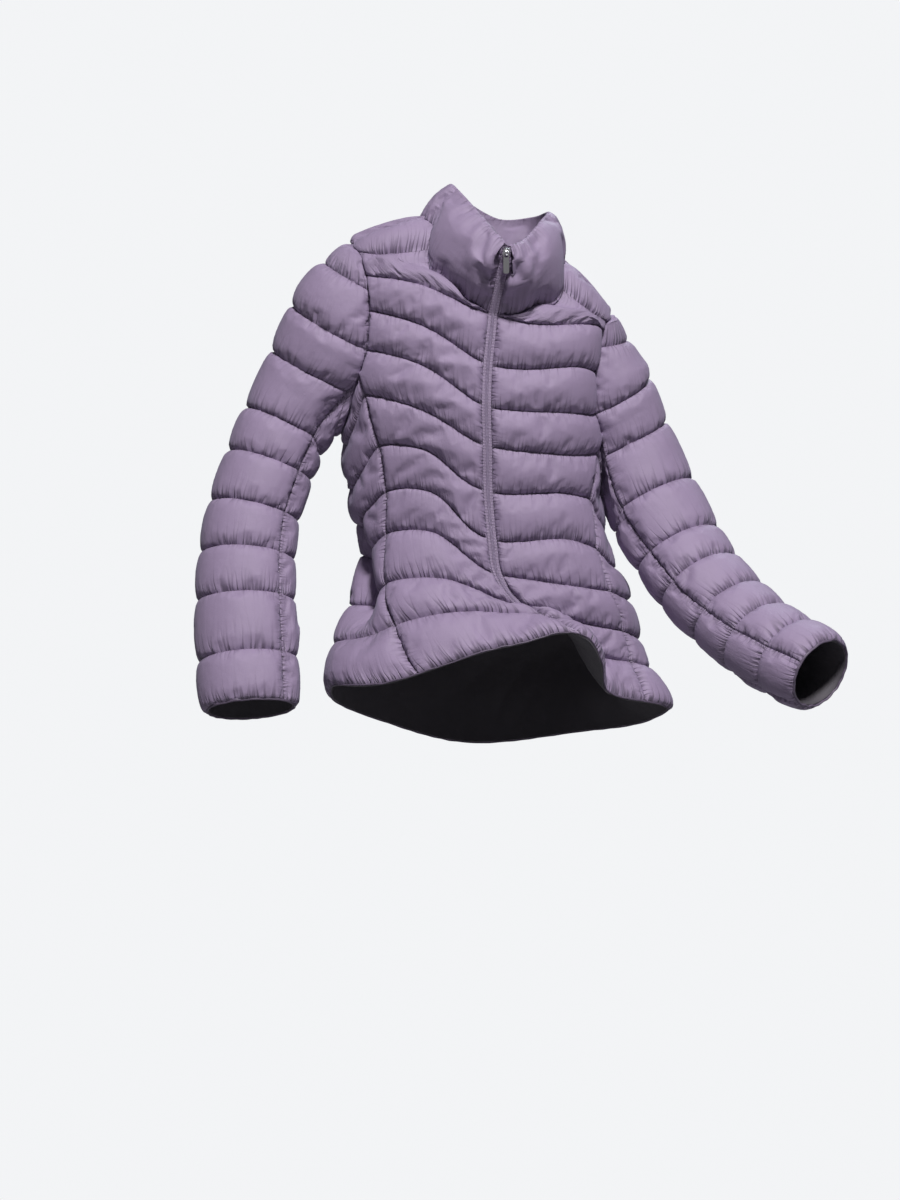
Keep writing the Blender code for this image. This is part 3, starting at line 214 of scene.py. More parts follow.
# share of the way along the neck seam, angle, level
NECK_FRONT = ((0.0, 0, 9.05), (0.17, 11.5, 9.36), (0.34, 23, 10.25), (0.5, 38, 10.95),
              (1.0, 90, 11.4))
NECK_BACK = ((0.0, 90, 11.4), (0.25, 142, 11.15), (0.5, 180, 11.0), (0.75, 218, 11.15),
             (1.0, 270, 11.4))
CORNER = 6.5             # level where the side panel, the front or back and the sleeve meet
NECK_POINT = 9.0         # level where the zip ends at the collar
TOP = 11.0               # row that is the shoulder seam
FRONT_SPLIT = np.linspace(0, 1, 65)     # columns of a front
SIDE_SPLIT = np.linspace(0, 1, 49)      # columns of a side panel
NECK_SPLIT = np.linspace(0, 1, 49)      # columns of the back below the neck
SLEEVE_SPLIT = np.linspace(0, 1, 77)    # columns of a top sleeve
BACK_SHOULDER = 0.30     # share of the back below each shoulder

# the sleeves: one row for each quilting seam, counted down from the shoulder;
# seam, x, y, z of the middle, half width, half depth
RIGHT_SLEEVE = (
    (-0.4, -0.158,  0.004,  0.033, 0.013, 0.014),
    (0.0,  -0.167,  0.008,  0.005, 0.034, 0.028),
    (1.0,  -0.195,  0.018, -0.053, 0.060, 0.048),
    (2.0,  -0.224,  0.032, -0.107, 0.060, 0.051),
    (3.0,  -0.251,  0.042, -0.161, 0.058, 0.051),
    (4.0,  -0.281,  0.040, -0.216, 0.054, 0.050),
    (5.0,  -0.301,  0.032, -0.267, 0.053, 0.049),
    (6.0,  -0.321,  0.020, -0.328, 0.054, 0.048),
    (7.0,  -0.329,  0.004, -0.388, 0.056, 0.047),
    (8.0,  -0.330, -0.016, -0.448, 0.058, 0.046),
    (9.0,  -0.326, -0.040, -0.524, 0.059, 0.045),
    (10.0, -0.321, -0.062, -0.587, 0.057, 0.042),
)
LEFT_SLEEVE = (
    (-0.4, 0.119,  0.016, -0.054, 0.013, 0.014),
    (0.0,  0.123,  0.022, -0.084, 0.034, 0.028),
    (1.0,  0.130,  0.036, -0.146, 0.060, 0.048),
    (2.0,  0.153,  0.052, -0.203, 0.061, 0.051),
    (3.0,  0.178,  0.058, -0.259, 0.060, 0.051),
    (4.0,  0.206,  0.048, -0.315, 0.058, 0.050),
    (5.0,  0.240,  0.026, -0.378, 0.055, 0.049),
    (6.0,  0.266, -0.002, -0.422, 0.054, 0.048),
    (7.0,  0.302, -0.036, -0.463, 0.053, 0.047),
    (8.0,  0.335, -0.074, -0.495, 0.052, 0.046),
    (9.0,  0.371, -0.114, -0.519, 0.052, 0.046),
    (10.0, 0.408, -0.152, -0.539, 0.049, 0.045),
)
SLEEVE_ROWS = ((6.5, 2.5), (7.0, 2.0), (8.5, 1.0), (11.0, 0.0))   # body row: sleeve row, at the cap
UNDER_ANGLE = 140        # where the under sleeve's seams lie, from the sleeve's outer line
CUFF = 10.0              # sleeve seam at the cuff's edge
CAP_BASE = 2.5           # sleeve seam at the bottom of the armhole
SEAM_SETTLE = 1.75       # seams below it over which the two long seams find their line
UNDER_SETTLE = 2.6       # and over which the under sleeve's rows level out
CAP_HOLD = 1.25          # seams over which the top sleeve follows the armhole, and the share
CAP_SHARE = 0.5          # of its width from each edge
UNDER_HOLD = 1.6         # the same for the under sleeve
UNDER_SHIFT = 0.6
CAP_LOWEST = 4.5         # lowest sleeve seam that the armhole can meet
CAP_STEP = 0.005
CAP_NEAREST = 0.02       # weight of the plain distance when a seam is matched to a point
SLOPE_STEP = 0.05        # seams over which the sleeve's direction is taken


def smooth(table, t):
    """A smooth curve through the table's rows, whose first column is the place along it."""
    table = np.asarray(table, float)
    knots, rows = table[:, 0], table[:, 1:]
    t = np.clip(np.asarray(t, float), knots[0], knots[-1])
    i = np.clip(np.searchsorted(knots, t, side="right") - 1, 0, len(knots) - 2)
    step = np.diff(knots)[:, None]
    slope = np.diff(rows, axis=0) / step
    inner = (slope[:-1] * step[1:] + slope[1:] * step[:-1]) / (step[1:] + step[:-1])
    tangent = np.vstack([slope[:1], inner, slope[-1:]])
    u = ((t - knots[i]) / step[i, 0])[..., None]
    h = step[i, 0][..., None]
    start = (2 * u**3 - 3 * u**2 + 1) * rows[i] + (u**3 - 2 * u**2 + u) * h * tangent[i]
    return start + (3 * u**2 - 2 * u**3) * rows[i + 1] + (u**3 - u**2) * h * tangent[i + 1]


def unit(v):
    """Directions of length 1."""
    return v / np.maximum(np.linalg.norm(v, axis=-1, keepdims=True), 1e-12)


def run_along(line):
    """Distance of each point of a line from its start."""
    return np.concatenate([[0], np.cumsum(np.linalg.norm(np.diff(line, axis=0), axis=1))])


def between(at, run, values):
    """Points or directions at these places of a run, read off between the known ones."""
    return np.stack([np.interp(at, run, values[:, k]) for k in range(3)], -1)


def fade(t):
    """1 at t = 0, falling smoothly to 0 at t = 1."""
    t = np.clip(t, 0, 1)
    return 1 - t * t * (3 - 2 * t)


def body(angle, level):
    """A point of the body's seam surface; the angle is from the zip, + to the wearer's left."""
    angle, level = np.broadcast_arrays(np.asarray(angle, float), np.asarray(level, float))
    angle = (angle + 180) % 360 - 180
    x0, y0, z0, half, front, back, roll, lean, turn, dip = np.moveaxis(smooth(BODY, level), -1, 0)
    a = np.radians(angle + turn)
    square = 1 + SQUARE * np.sin(2 * a) ** 2
    x = half * np.sin(a) * square
    y = -np.where(np.cos(a) > 0, front, back) * np.cos(a) * square
    z = -dip * np.clip(1 - np.abs(angle) / DIP_REACH, 0, 1) ** DIP_SHARP
    for at, high, before, after, below, above, inward, down in FOLDS:
        off = (angle - at + 180) % 360 - 180
        around = np.clip(np.abs(off) / np.where(off < 0, before, after), 0, 1)
        up = np.clip(np.abs(level - high) / np.where(level < high, below, above), 0, 1)
        weight = fade(around) * fade(up)
        reach = np.maximum(np.hypot(x, y), 1e-6)
        x = x * (1 - weight * inward / reach)
        y = y * (1 - weight * inward / reach)
        z = z - weight * down
    r, p = np.radians(roll), np.radians(lean)
    y, z = y * np.cos(p), z + y * np.sin(p)
    x, z = x * np.cos(r) + z * np.sin(r), z * np.cos(r) - x * np.sin(r)
    return np.stack([x0 + x, y0 + y, z0 + z], -1)


def body_normal(angle, level):
    """The outward direction of the body's seam surface."""
    along = body(np.add(angle, TURN_STEP), level) - body(np.subtract(angle, TURN_STEP), level)
    up = body(angle, np.add(level, LEVEL_STEP)) - body(angle, np.subtract(level, LEVEL_STEP))
    return unit(np.cross(along, up))


def from_zip(level, metres):
    """The angle at this distance from the zip, over the surface."""
    degree = np.linalg.norm(body(TURN_STEP, level) - body(-TURN_STEP, level), axis=-1) / (2 * TURN_STEP)
    return metres / degree


def armhole_at(level, is_front):
    """Turn round the armhole where its front or back edge is at this level."""
    turns = np.linspace(0 if is_front else 1, 0.5, 801)
    levels = smooth(ARMHOLE, turns)[:, 1]
    return np.interp(level, levels[::-1], turns[::-1])


def coons(bottom, top, left, right, v, split):
    """Fill four edges, each a list of (angle, level) pairs, with rows that blend them."""
    v = np.asarray(v)[:, None, None]
    u = np.asarray(split)[None, :, None]
    sides = (1 - u) * left[:, None, :] + u * right[:, None, :]
    ends = (1 - v) * bottom[None] + v * top[None]
    corners = ((1 - u) * (1 - v) * bottom[0] + u * (1 - v) * bottom[-1]
               + (1 - u) * v * top[0] + u * v * top[-1])
    return sides + ends - corners


def channel_rise(rows):
    """0 on a quilting seam and 1 at the fullest part of a channel, a little below its middle."""
    part = np.mod(np.asarray(rows, float), 1.0)
    return np.sqrt(np.clip(1 - np.abs(2 * part ** FULLEST - 1) ** BOXY, 0, 1))


def edge_rise(distance, reach=EDGE_ROUND):
    """0 on a seam along a panel's side, rising in a quarter circle to 1."""
    t = np.clip(distance / reach, 0, 1)
    return np.sqrt(1 - (1 - t) ** 2)


def distance_along(points):
    """Distance of each point of each row from its row's nearer end."""
    steps = np.linalg.norm(np.diff(points, axis=1), axis=-1)
    run = np.concatenate([np.zeros((len(points), 1)), np.cumsum(steps, axis=1)], axis=1)
    return np.minimum(run, run[:, -1:] - run)


def room_beside(points, normals, ends):
    """How far each point may rise before it passes the plane halfway to the panel beside it."""
    free = np.full(points.shape[:2], 1.0)
    edges = [(points[:, :1], normals[:, :1]), (points[:, -1:], normals[:, -1:])]
    edges += [(points[i:i + 1 or None], normals[i:i + 1 or None]) for i in ends]
    for start, normal in edges:
        apart = points - start
        distance = np.linalg.norm(apart, axis=-1)
        lean = np.sum(apart * normal, -1) / np.maximum(distance, 1e-9)
        slope = np.sqrt(1 - np.clip(lean, 0, 1) ** 2) / np.maximum(lean, 1e-3)
        free = np.where(lean > 0, np.minimum(free, distance * slope), free)
    return free


LOW_ROWS = np.arange(0, CORNER + 0.01, 1 / STEPS)
MID_ROWS = np.arange(0, NECK_POINT + 0.01, 1 / STEPS)
HIGH_ROWS = np.arange(NECK_POINT, TOP + 0.01, 1 / STEPS)
CAP_ROWS = np.arange(CORNER, TOP + 0.01, 1 / STEPS)


def armhole_edge(rows, is_front):
    """(angle, level) of the armhole's front or back edge at these body rows."""
    rows = np.asarray(rows, float)
    low = armhole_at(np.minimum(rows, NECK_POINT), is_front)
    high = armhole_at(NECK_POINT, is_front)
    end = 0.0 if is_front else 1.0
    part = np.clip((rows - NECK_POINT) / (TOP - NECK_POINT), 0, 1)
    return smooth(ARMHOLE, np.where(rows > NECK_POINT, high + (end - high) * part, low))


def side_edge(rows, is_front):
    """The seam beside the side panel, then the armhole above it."""
    rows = np.asarray(rows, float)
    seam = smooth(FRONT_SEAM if is_front else BACK_SEAM, rows)[:, 0]
    low = np.stack([seam, rows], -1)
    return np.where((rows < CORNER)[:, None], low, armhole_edge(np.maximum(rows, CORNER), is_front))


def mirrored(pairs):
    """The same (angle, level) pairs, on the other side and counted on round the back."""
    return pairs * np.array([-1.0, 1.0]) + [360, 0]


SEAM_NORMALS = {}        # outward directions along each seam, shared by the panels that meet there
PRESSED = {}             # the bottom of each armhole, where arm and body press on one another


def pressed(grid, seam, side, away, behind):
    """Keep points below the bottom of an armhole on their side of the face where arm meets body."""
    order = np.argsort(seam[:, 1])
    face_x = np.interp(grid[..., 1], seam[order, 1], seam[order, 0] * side)
    face_z = np.interp(grid[..., 1], seam[order, 1], seam[order, 2])
    below = np.maximum(face_z - grid[..., 2], 0)
    face_x = face_x + below * ARM_SLOPE[side]
    off = (grid[..., 0] * side - face_x) * away
    clear = np.minimum(below * PRESS_OPEN, PRESS_GAP) + np.minimum(behind, below)
    touching = (below > GAP) & (below < PRESS_REACH[side])
    short = np.where(touching, np.maximum(clear - off, 0), 0)
    moved = grid.copy()
    moved[:, 1:-1, 0] += (short * side * away)[:, 1:-1]
    return moved


def front_start():
    """The front's edge beside the zip."""
    start = np.stack([from_zip(MID_ROWS, TAPE_HALF), MID_ROWS], -1)
    start[-1, 1] = NECK_FRONT[0][2]
    return start


def neck_edge(side):
    """(angle, level) of the neck seam on one front, from the zip to the shoulder seam."""
    pairs = smooth(NECK_FRONT, (HIGH_ROWS - NECK_POINT) / (TOP - NECK_POINT))
    pairs[0] = front_start()[-1]
    return pairs * np.array([side, 1.0])


def effect(name, takes, gives):
    """An empty shader group with these named inputs, with their usual values, and outputs."""
    group = bpy.data.node_groups.new(name, "ShaderNodeTree")
    for label, value in takes:
        socket = group.interface.new_socket(label, in_out="INPUT", socket_type="NodeSocketFloat")
        socket.default_value = value
    for label in gives:
        group.interface.new_socket(label, in_out="OUTPUT", socket_type="NodeSocketFloat")
    return group, group.nodes.new("NodeGroupInput"), group.nodes.new("NodeGroupOutput")


def joined(group, operation, first, second=0.0):
    """A Math node on two values, each a socket or a number."""
    node = group.nodes.new("ShaderNodeMath")
    node.operation = operation
    for socket, value in zip(node.inputs, (first, second)):
        if isinstance(value, (int, float)):
            socket.default_value = value
        else:
            group.links.new(value, socket)
    return node.outputs[0]


def grain(group, vector, size, detail=2.0, rough=0.5):
    """A noise of this size, a socket or a number, over a vector."""
    noise = group.nodes.new("ShaderNodeTexNoise")
    noise.inputs["Detail"].default_value = detail
    noise.inputs["Roughness"].default_value = rough
    group.links.new(vector, noise.inputs["Vector"])
    if isinstance(size, (int, float)):
        noise.inputs["Scale"].default_value = size
    else:
        group.links.new(size, noise.inputs["Scale"])
    return noise.outputs[0]


# thin cloth: the fine crinkle that down pushes into it, its threads, and a tone that drifts;
# heights are in metres
thin_cloth, takes, gives = effect(
    "thin cloth",
    (("Crinkle size", 90.0), ("Crinkle", 0.0005), ("Thread size", 450.0), ("Thread", 0.0001)),
    ("Height", "Tone", "Rub"))
place = thin_cloth.nodes.new("ShaderNodeTexCoord")
crinkle = grain(thin_cloth, place.outputs["Object"], takes.outputs["Crinkle size"], 3.0, 0.55)
height = joined(thin_cloth, "MULTIPLY", crinkle, takes.outputs["Crinkle"])
for direction in ("X", "Y"):
    threads = thin_cloth.nodes.new("ShaderNodeTexWave")
    threads.bands_direction = direction
    thin_cloth.links.new(place.outputs["UV"], threads.inputs["Vector"])
    thin_cloth.links.new(takes.outputs["Thread size"], threads.inputs["Scale"])
    raised = joined(thin_cloth, "MULTIPLY", threads.outputs["Fac"], takes.outputs["Thread"])
    height = joined(thin_cloth, "ADD", height, raised)
thin_cloth.links.new(height, gives.inputs["Height"])
for label, size in (("Tone", 9.0), ("Rub", 38.0)):
    thin_cloth.links.new(grain(thin_cloth, place.outputs["Object"], size, 4.0), gives.inputs[label])

# gathers: tight pleats that stand across a seam where more cloth is sewn to less, with narrow
# creases between them, which light hardly reaches; the creases are also painted darker in the
# cloth's colour, as painted shade. The layer "channels" holds metres along the seams and the
# channel's number; "sides" holds metres from the nearer side of the panel and metres along it
SEAM_FALL = 0.0022       # what is left of the pleats one channel above the seam below them
TOP_FALL = SEAM_FALL * 0.02     # and one channel below the seam above them,
TOP_SHARE = 0.5          # where they are this much weaker
SIDE_FALL = 0.7          # what is left of them beside a side seam after one of its steps
SIDE_STEPS = 500.0       # steps in a metre
CHANNEL_SHIFT = 3.7      # sets each channel's pleats apart from the next one's
PLEAT_SHARP = 15.0       # how narrow the creases are, and how deep beside the pleats' swell
CREASE_DEPTH = 0.3
gathers, takes, gives = effect("gathers", (("Pleat size", 110.0), ("Depth", 0.0010)),
                               ("Height", "Painted crease shade"))
height, painted_crease_shade = None, None
for layer, wander in (("channels", 0.8), ("sides", 30.0)):
    lay = gathers.nodes.new("ShaderNodeUVMap")
    lay.uv_map = layer
    apart = gathers.nodes.new("ShaderNodeSeparateXYZ")
    gathers.links.new(lay.outputs[0], apart.inputs[0])
    along, across = apart.outputs[0], apart.outputs[1]
    if layer == "channels":
        part = joined(gathers, "FRACT", across)
        near = joined(gathers, "POWER", SEAM_FALL, part)
        over = joined(gathers, "POWER", TOP_FALL, joined(gathers, "SUBTRACT", 1.0, part))
        near = joined(gathers, "ADD", near, joined(gathers, "MULTIPLY", over, TOP_SHARE))
        number = joined(gathers, "MULTIPLY", joined(gathers, "FLOOR", across), CHANNEL_SHIFT)
        lengthwise = joined(gathers, "ADD", joined(gathers, "MULTIPLY", across, wander), number)
    else:
        near = joined(gathers, "POWER", SIDE_FALL, joined(gathers, "MULTIPLY", along, SIDE_STEPS))
        along, lengthwise = across, joined(gathers, "MULTIPLY", along, wander)
    laid = gathers.nodes.new("ShaderNodeCombineXYZ")
    gathers.links.new(joined(gathers, "MULTIPLY", along, takes.outputs["Pleat size"]), laid.inputs[0])
    gathers.links.new(lengthwise, laid.inputs[1])
    pleat = grain(gathers, laid.outputs[0], 1.0, 1.0)
    off = joined(gathers, "ABSOLUTE", joined(gathers, "SUBTRACT", pleat, 0.5))
    sharp = joined(gathers, "MULTIPLY", off, PLEAT_SHARP)
    fold = joined(gathers, "MAXIMUM", joined(gathers, "SUBTRACT", 1.0, sharp), 0.0)
    drawn = joined(gathers, "MULTIPLY", fold, near)
    pushed = joined(gathers, "MULTIPLY", drawn, CREASE_DEPTH)
    swell = joined(gathers, "SUBTRACT", joined(gathers, "MULTIPLY", pleat, near), pushed)
    raised = joined(gathers, "MULTIPLY", swell, takes.outputs["Depth"])
    height = raised if height is None else joined(gathers, "ADD", height, raised)
    # the creases' mask, put out for the cloth to darken its colour with: painted shade
    painted_crease_shade = drawn if painted_crease_shade is None else joined(gathers, "MAXIMUM", painted_crease_shade, drawn)
gathers.links.new(height, gives.inputs["Height"])
gathers.links.new(painted_crease_shade, gives.inputs["Painted crease shade"])


RUB_FROM, RUB_TO = 0.3, 0.7     # the drift of the rubbing that spans a cloth's roughness,
RUB_DOWN, RUB_UP = 0.05, 0.06   # and how far that goes down and up
PAINTED_CREASE_SHADE = 0.2               # painted shade deep in the creases, as a share of the cloth's deeper tone


def cloth(name, light, deep, roughness, settings, pleats=None, sheen=0.0, gloss=0.5):
    """A woven material that drifts between two tones and two roughnesses.

    pleats are their size, their depth and how strongly painted shade darkens their creases."""
    made = bpy.data.materials.new(name)
    made.use_nodes = True
    tree = made.node_tree
    shader = tree.nodes["Principled BSDF"]
    weave = tree.nodes.new("ShaderNodeGroup")
    weave.node_tree = thin_cloth
    for label, value in settings.items():
        weave.inputs[label].default_value = value
    tone = tree.nodes.new("ShaderNodeMix")
    tone.data_type = "RGBA"
    tone.inputs["A"].default_value = (*deep, 1)
    tone.inputs["B"].default_value = (*light, 1)
    tree.links.new(weave.outputs["Tone"], tone.inputs["Factor"])
    colour = tone.outputs["Result"]
    rub = tree.nodes.new("ShaderNodeMapRange")
    rub.inputs["From Min"].default_value = RUB_FROM
    rub.inputs["From Max"].default_value = RUB_TO
    rub.inputs["To Min"].default_value = roughness - RUB_DOWN
    rub.inputs["To Max"].default_value = roughness + RUB_UP
    tree.links.new(weave.outputs["Rub"], rub.inputs["Value"])
    tree.links.new(rub.outputs[0], shader.inputs["Roughness"])
    height = weave.outputs["Height"]
    if pleats:
        drawn = tree.nodes.new("ShaderNodeGroup")
        drawn.node_tree = gathers
        size, depth, shade = pleats
        drawn.inputs["Pleat size"].default_value = size
        drawn.inputs["Depth"].default_value = depth
        height = joined(tree, "ADD", height, drawn.outputs["Height"])
        # painted shade: the colour is mixed towards a dark tone along the pleats' creases
        dim = tree.nodes.new("ShaderNodeMix")
        dim.data_type = "RGBA"
        tree.links.new(joined(tree, "MULTIPLY", drawn.outputs["Painted crease shade"], shade), dim.inputs["Factor"])
        tree.links.new(colour, dim.inputs["A"])
        dim.inputs["B"].default_value = (*(PAINTED_CREASE_SHADE * part for part in deep), 1)
        colour = dim.outputs["Result"]
    tree.links.new(colour, shader.inputs["Base Color"])
    relief = tree.nodes.new("ShaderNodeBump")
    relief.inputs["Strength"].default_value = 1.0
    relief.inputs["Distance"].default_value = 1.0
    tree.links.new(height, relief.inputs["Height"])
    tree.links.new(relief.outputs[0], shader.inputs["Normal"])
    shader.inputs["Specular IOR Level"].default_value = gloss
    shader.inputs["Sheen Weight"].default_value = sheen
    shader.inputs["Sheen Roughness"].default_value = 0.4
    shader.inputs["Sheen Tint"].default_value = (0.72, 0.80, 1.0, 1)
    return made


# the shell's last pleat number, 0.75, is how strongly painted shade darkens the creases
shell_cloth = cloth("purple down-proof nylon", (0.322, 0.252, 0.392), (0.290, 0.225, 0.352), 0.50,
                    {"Crinkle size": 85.0, "Crinkle": 0.0005, "Thread size": 450.0, "Thread": 0.00006},
                    (110.0, 0.0050, 0.75), 0.10, 0.35)
lining_cloth = cloth("black lining", (0.110, 0.102, 0.120), (0.070, 0.065, 0.078), 0.42,
                     {"Crinkle size": 60.0, "Crinkle": 0.0006, "Thread size": 450.0, "Thread": 0.00006},
                     None, 0.0, 0.6)
FILL_FRAMES = 20         # steps in which a face is blown up
FILL_START = 0.9         # share of its rise from which it starts
FILL_UNEVEN = 0.0002     # how far its points start off that, at random
MOST_MOVE = 0.014        # how far the filling may push any point of a face
SINK = 0.4               # share of its rise that a point may sink back
DOWN = {"pressure": 12.0, "shrink": -0.028, "stretch": 20.0, "bend": 10.0}


def channelled(points, normals, rows, puff, reach=EDGE_ROUND, ends=()):
    """How far a panel with quilted channels stands above its seams.

    ends are the rows, first or last, that are seams with another panel too."""
    distance = distance_along(points)
    for i in ends:
        distance = np.minimum(distance, np.linalg.norm(points - points[i:i + 1 or None], axis=-1))
    rise = puff * channel_rise(rows)[:, None] * edge_rise(distance, reach)
    spare = ROOM_SHARE * room_beside(points, normals, ends) - SEAM_HALF
    return np.clip(rise, 0, np.maximum(spare, 0))


class Panel:
    """A padded panel: its seam surface, the face that the down fills, and its plain inside."""

    def __init__(self, name, points, normals, rows, puff, reach=EDGE_ROUND, ends=(), press=None,
                 rise=None):
        self.name, self.points, self.normals, self.rows = name, points, normals, rows
        self.press = press
        self.rise = channelled(points, normals, rows, puff, reach, ends) if rise is None else rise
        self.sewn = np.zeros(points.shape[:2], bool)
        self.sewn[np.abs(rows - np.round(rows)) < 1e-6] = True
        self.sewn[[0, -1]] = True
        self.sewn[:, [0, -1]] = True
        self.face = self.at_height(1.0)
        self.inside = self.leaning(points - normals * SEAM_HALF, 2 * SEAM_HALF)

    def leaning(self, grid, behind=0.0):
        return self.press(grid, behind) if self.press else grid

    def at_height(self, share):
        return self.leaning(self.points + self.normals * (SEAM_HALF + self.rise * share)[..., None])


def fill_with_down(panels, seed, shrink=DOWN["shrink"], bend=DOWN["bend"]):
    """Blow the faces up between their seams, as down does.

    The cloth wrinkles where it is held short."""
    chance = np.random.default_rng(seed)
    sheets = []
    for panel in panels:
        rows, cols = panel.face.shape[:2]
        laid = panel.at_height(FILL_START)
        uneven = chance.uniform(-FILL_UNEVEN, FILL_UNEVEN, (rows, cols, 1))
        laid = laid + panel.normals * uneven
        faces = grid_faces(rows, cols)
        corner = laid[:-1, :-1]
        facing = np.cross(laid[:-1, 1:] - corner, laid[1:, :-1] - corner)
        if np.sum(facing * panel.normals[:-1, :-1]) < 0:
            faces = faces[:, ::-1]
        sheet = add_mesh(panel.name + "_filling", laid, faces.tolist())
        held = sheet.vertex_groups.new(name="sewn")
        held.add(np.flatnonzero(panel.sewn).tolist(), 1.0, "REPLACE")
        down = sheet.modifiers.new("down", "CLOTH")
        down.settings.quality = 4
        down.settings.mass = 0.15
        down.settings.tension_stiffness = down.settings.compression_stiffness = DOWN["stretch"]
        down.settings.shear_stiffness = DOWN["stretch"] / 3
        down.settings.bending_stiffness = bend
        down.settings.tension_damping = down.settings.compression_damping = 5
        down.settings.shear_damping = 5
        down.settings.bending_damping = 0.5
        down.settings.air_damping = 2
        down.settings.use_pressure = True
        down.settings.uniform_pressure_force = DOWN["pressure"]
        down.settings.vertex_group_mass = "sewn"
        down.settings.pin_stiffness = 1.0
        down.settings.shrink_min = down.settings.shrink_max = shrink
        down.settings.effector_weights.gravity = 0
        down.collision_settings.use_collision = False
        down.point_cache.frame_start = 1
        down.point_cache.frame_end = FILL_FRAMES
        sheets.append((panel, sheet, laid))
    for frame_number in range(1, FILL_FRAMES + 1):
        scene.frame_set(frame_number)
    state = bpy.context.evaluated_depsgraph_get()
    for panel, sheet, laid in sheets:
        filled = np.empty(laid.size, np.float32)
        sheet.evaluated_get(state).data.vertices.foreach_get("co", filled)
        moved = filled.reshape(laid.shape) - laid
        far = np.linalg.norm(moved, axis=-1, keepdims=True)
        moved = moved * np.minimum(1, MOST_MOVE / np.maximum(far, 1e-9))
        outward = np.sum(moved * panel.normals, -1)
        sunk = np.maximum(-SINK * panel.rise - outward, 0)
        moved = moved + panel.normals * sunk[..., None]
        panel.face = np.where(panel.sewn[..., None], panel.face, panel.leaning(laid + moved))
    for _, sheet, _ in sheets:
        bpy.data.objects.remove(sheet, do_unlink=True)
    scene.frame_set(1)


SHARP_ANGLE = 1.25       # turn, in radians, from which a fold is drawn sharp


def sewn_up(name, face, inside, outer_cloth, inner_cloth, levels=None):
    """Close a face and an inside of the same rows and columns into one wall of two cloths.

    levels numbers the rows by channel, rising towards the top."""
    rows, cols = face.shape[:2]
    count = rows * cols
    at = np.arange(count).reshape(rows, cols)
    front = grid_faces(rows, cols)
    edges = [np.stack([line[1:], line[:-1], line[:-1] + count, line[1:] + count], -1)
             for line in (at[0], at[-1][::-1], at[::-1, 0], at[:, -1])]
    faces = np.vstack([front, *edges, front[:, ::-1] + count])
    points = np.concatenate([face.reshape(-1, 3), inside.reshape(-1, 3)])
    corners = points[faces]
    volume = sum(np.sum(corners[:, 0] * np.cross(corners[:, a], corners[:, a + 1])) for a in (1, 2))
    if volume < 0:
        faces = faces[:, ::-1]
    made = add_mesh(name, points, faces.tolist())
    made.data.materials.append(outer_cloth)
    made.data.materials.append(inner_cloth)
    is_inner = np.arange(len(faces)) >= len(faces) - len(front)
    made.data.polygons.foreach_set("material_index", is_inner.astype(np.int32))
    across = np.concatenate([[0], np.cumsum(np.linalg.norm(np.diff(face, axis=1), axis=-1).mean(0))])
    along = np.concatenate([[0], np.cumsum(np.linalg.norm(np.diff(face, axis=0), axis=-1).mean(1))])
    layers = {"cut": (across[None], along[:, None])}
    if levels is not None:
        layers["channels"] = (across[None], np.asarray(levels)[:, None])
        layers["sides"] = (np.minimum(across, across[-1] - across)[None], along[:, None])
    loops = np.empty(len(made.data.loops), np.int32)
    made.data.loops.foreach_get("vertex_index", loops)
    for label, pair in layers.items():
        flat = np.stack(np.broadcast_arrays(*pair), -1).reshape(-1, 2)
        layer = made.data.uv_layers.new(name=label)
        layer.data.foreach_set("uv", flat[loops % count].astype(np.float32).ravel())
    made.data.set_sharp_from_angle(angle=SHARP_ANGLE)
    return made


def sew_panel(panel):
    """Close a padded panel; the rows of a sleeve count down and those of the body up."""
    upward = -1 if "sleeve" in panel.name else 1
    made = sewn_up("down_" + panel.name, panel.face, panel.inside, shell_cloth, lining_cloth,
                   panel.rows * upward)
    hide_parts(panel.name)
    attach(made, "jacket")


Hole = namedtuple("Hole", "points outward seam around")


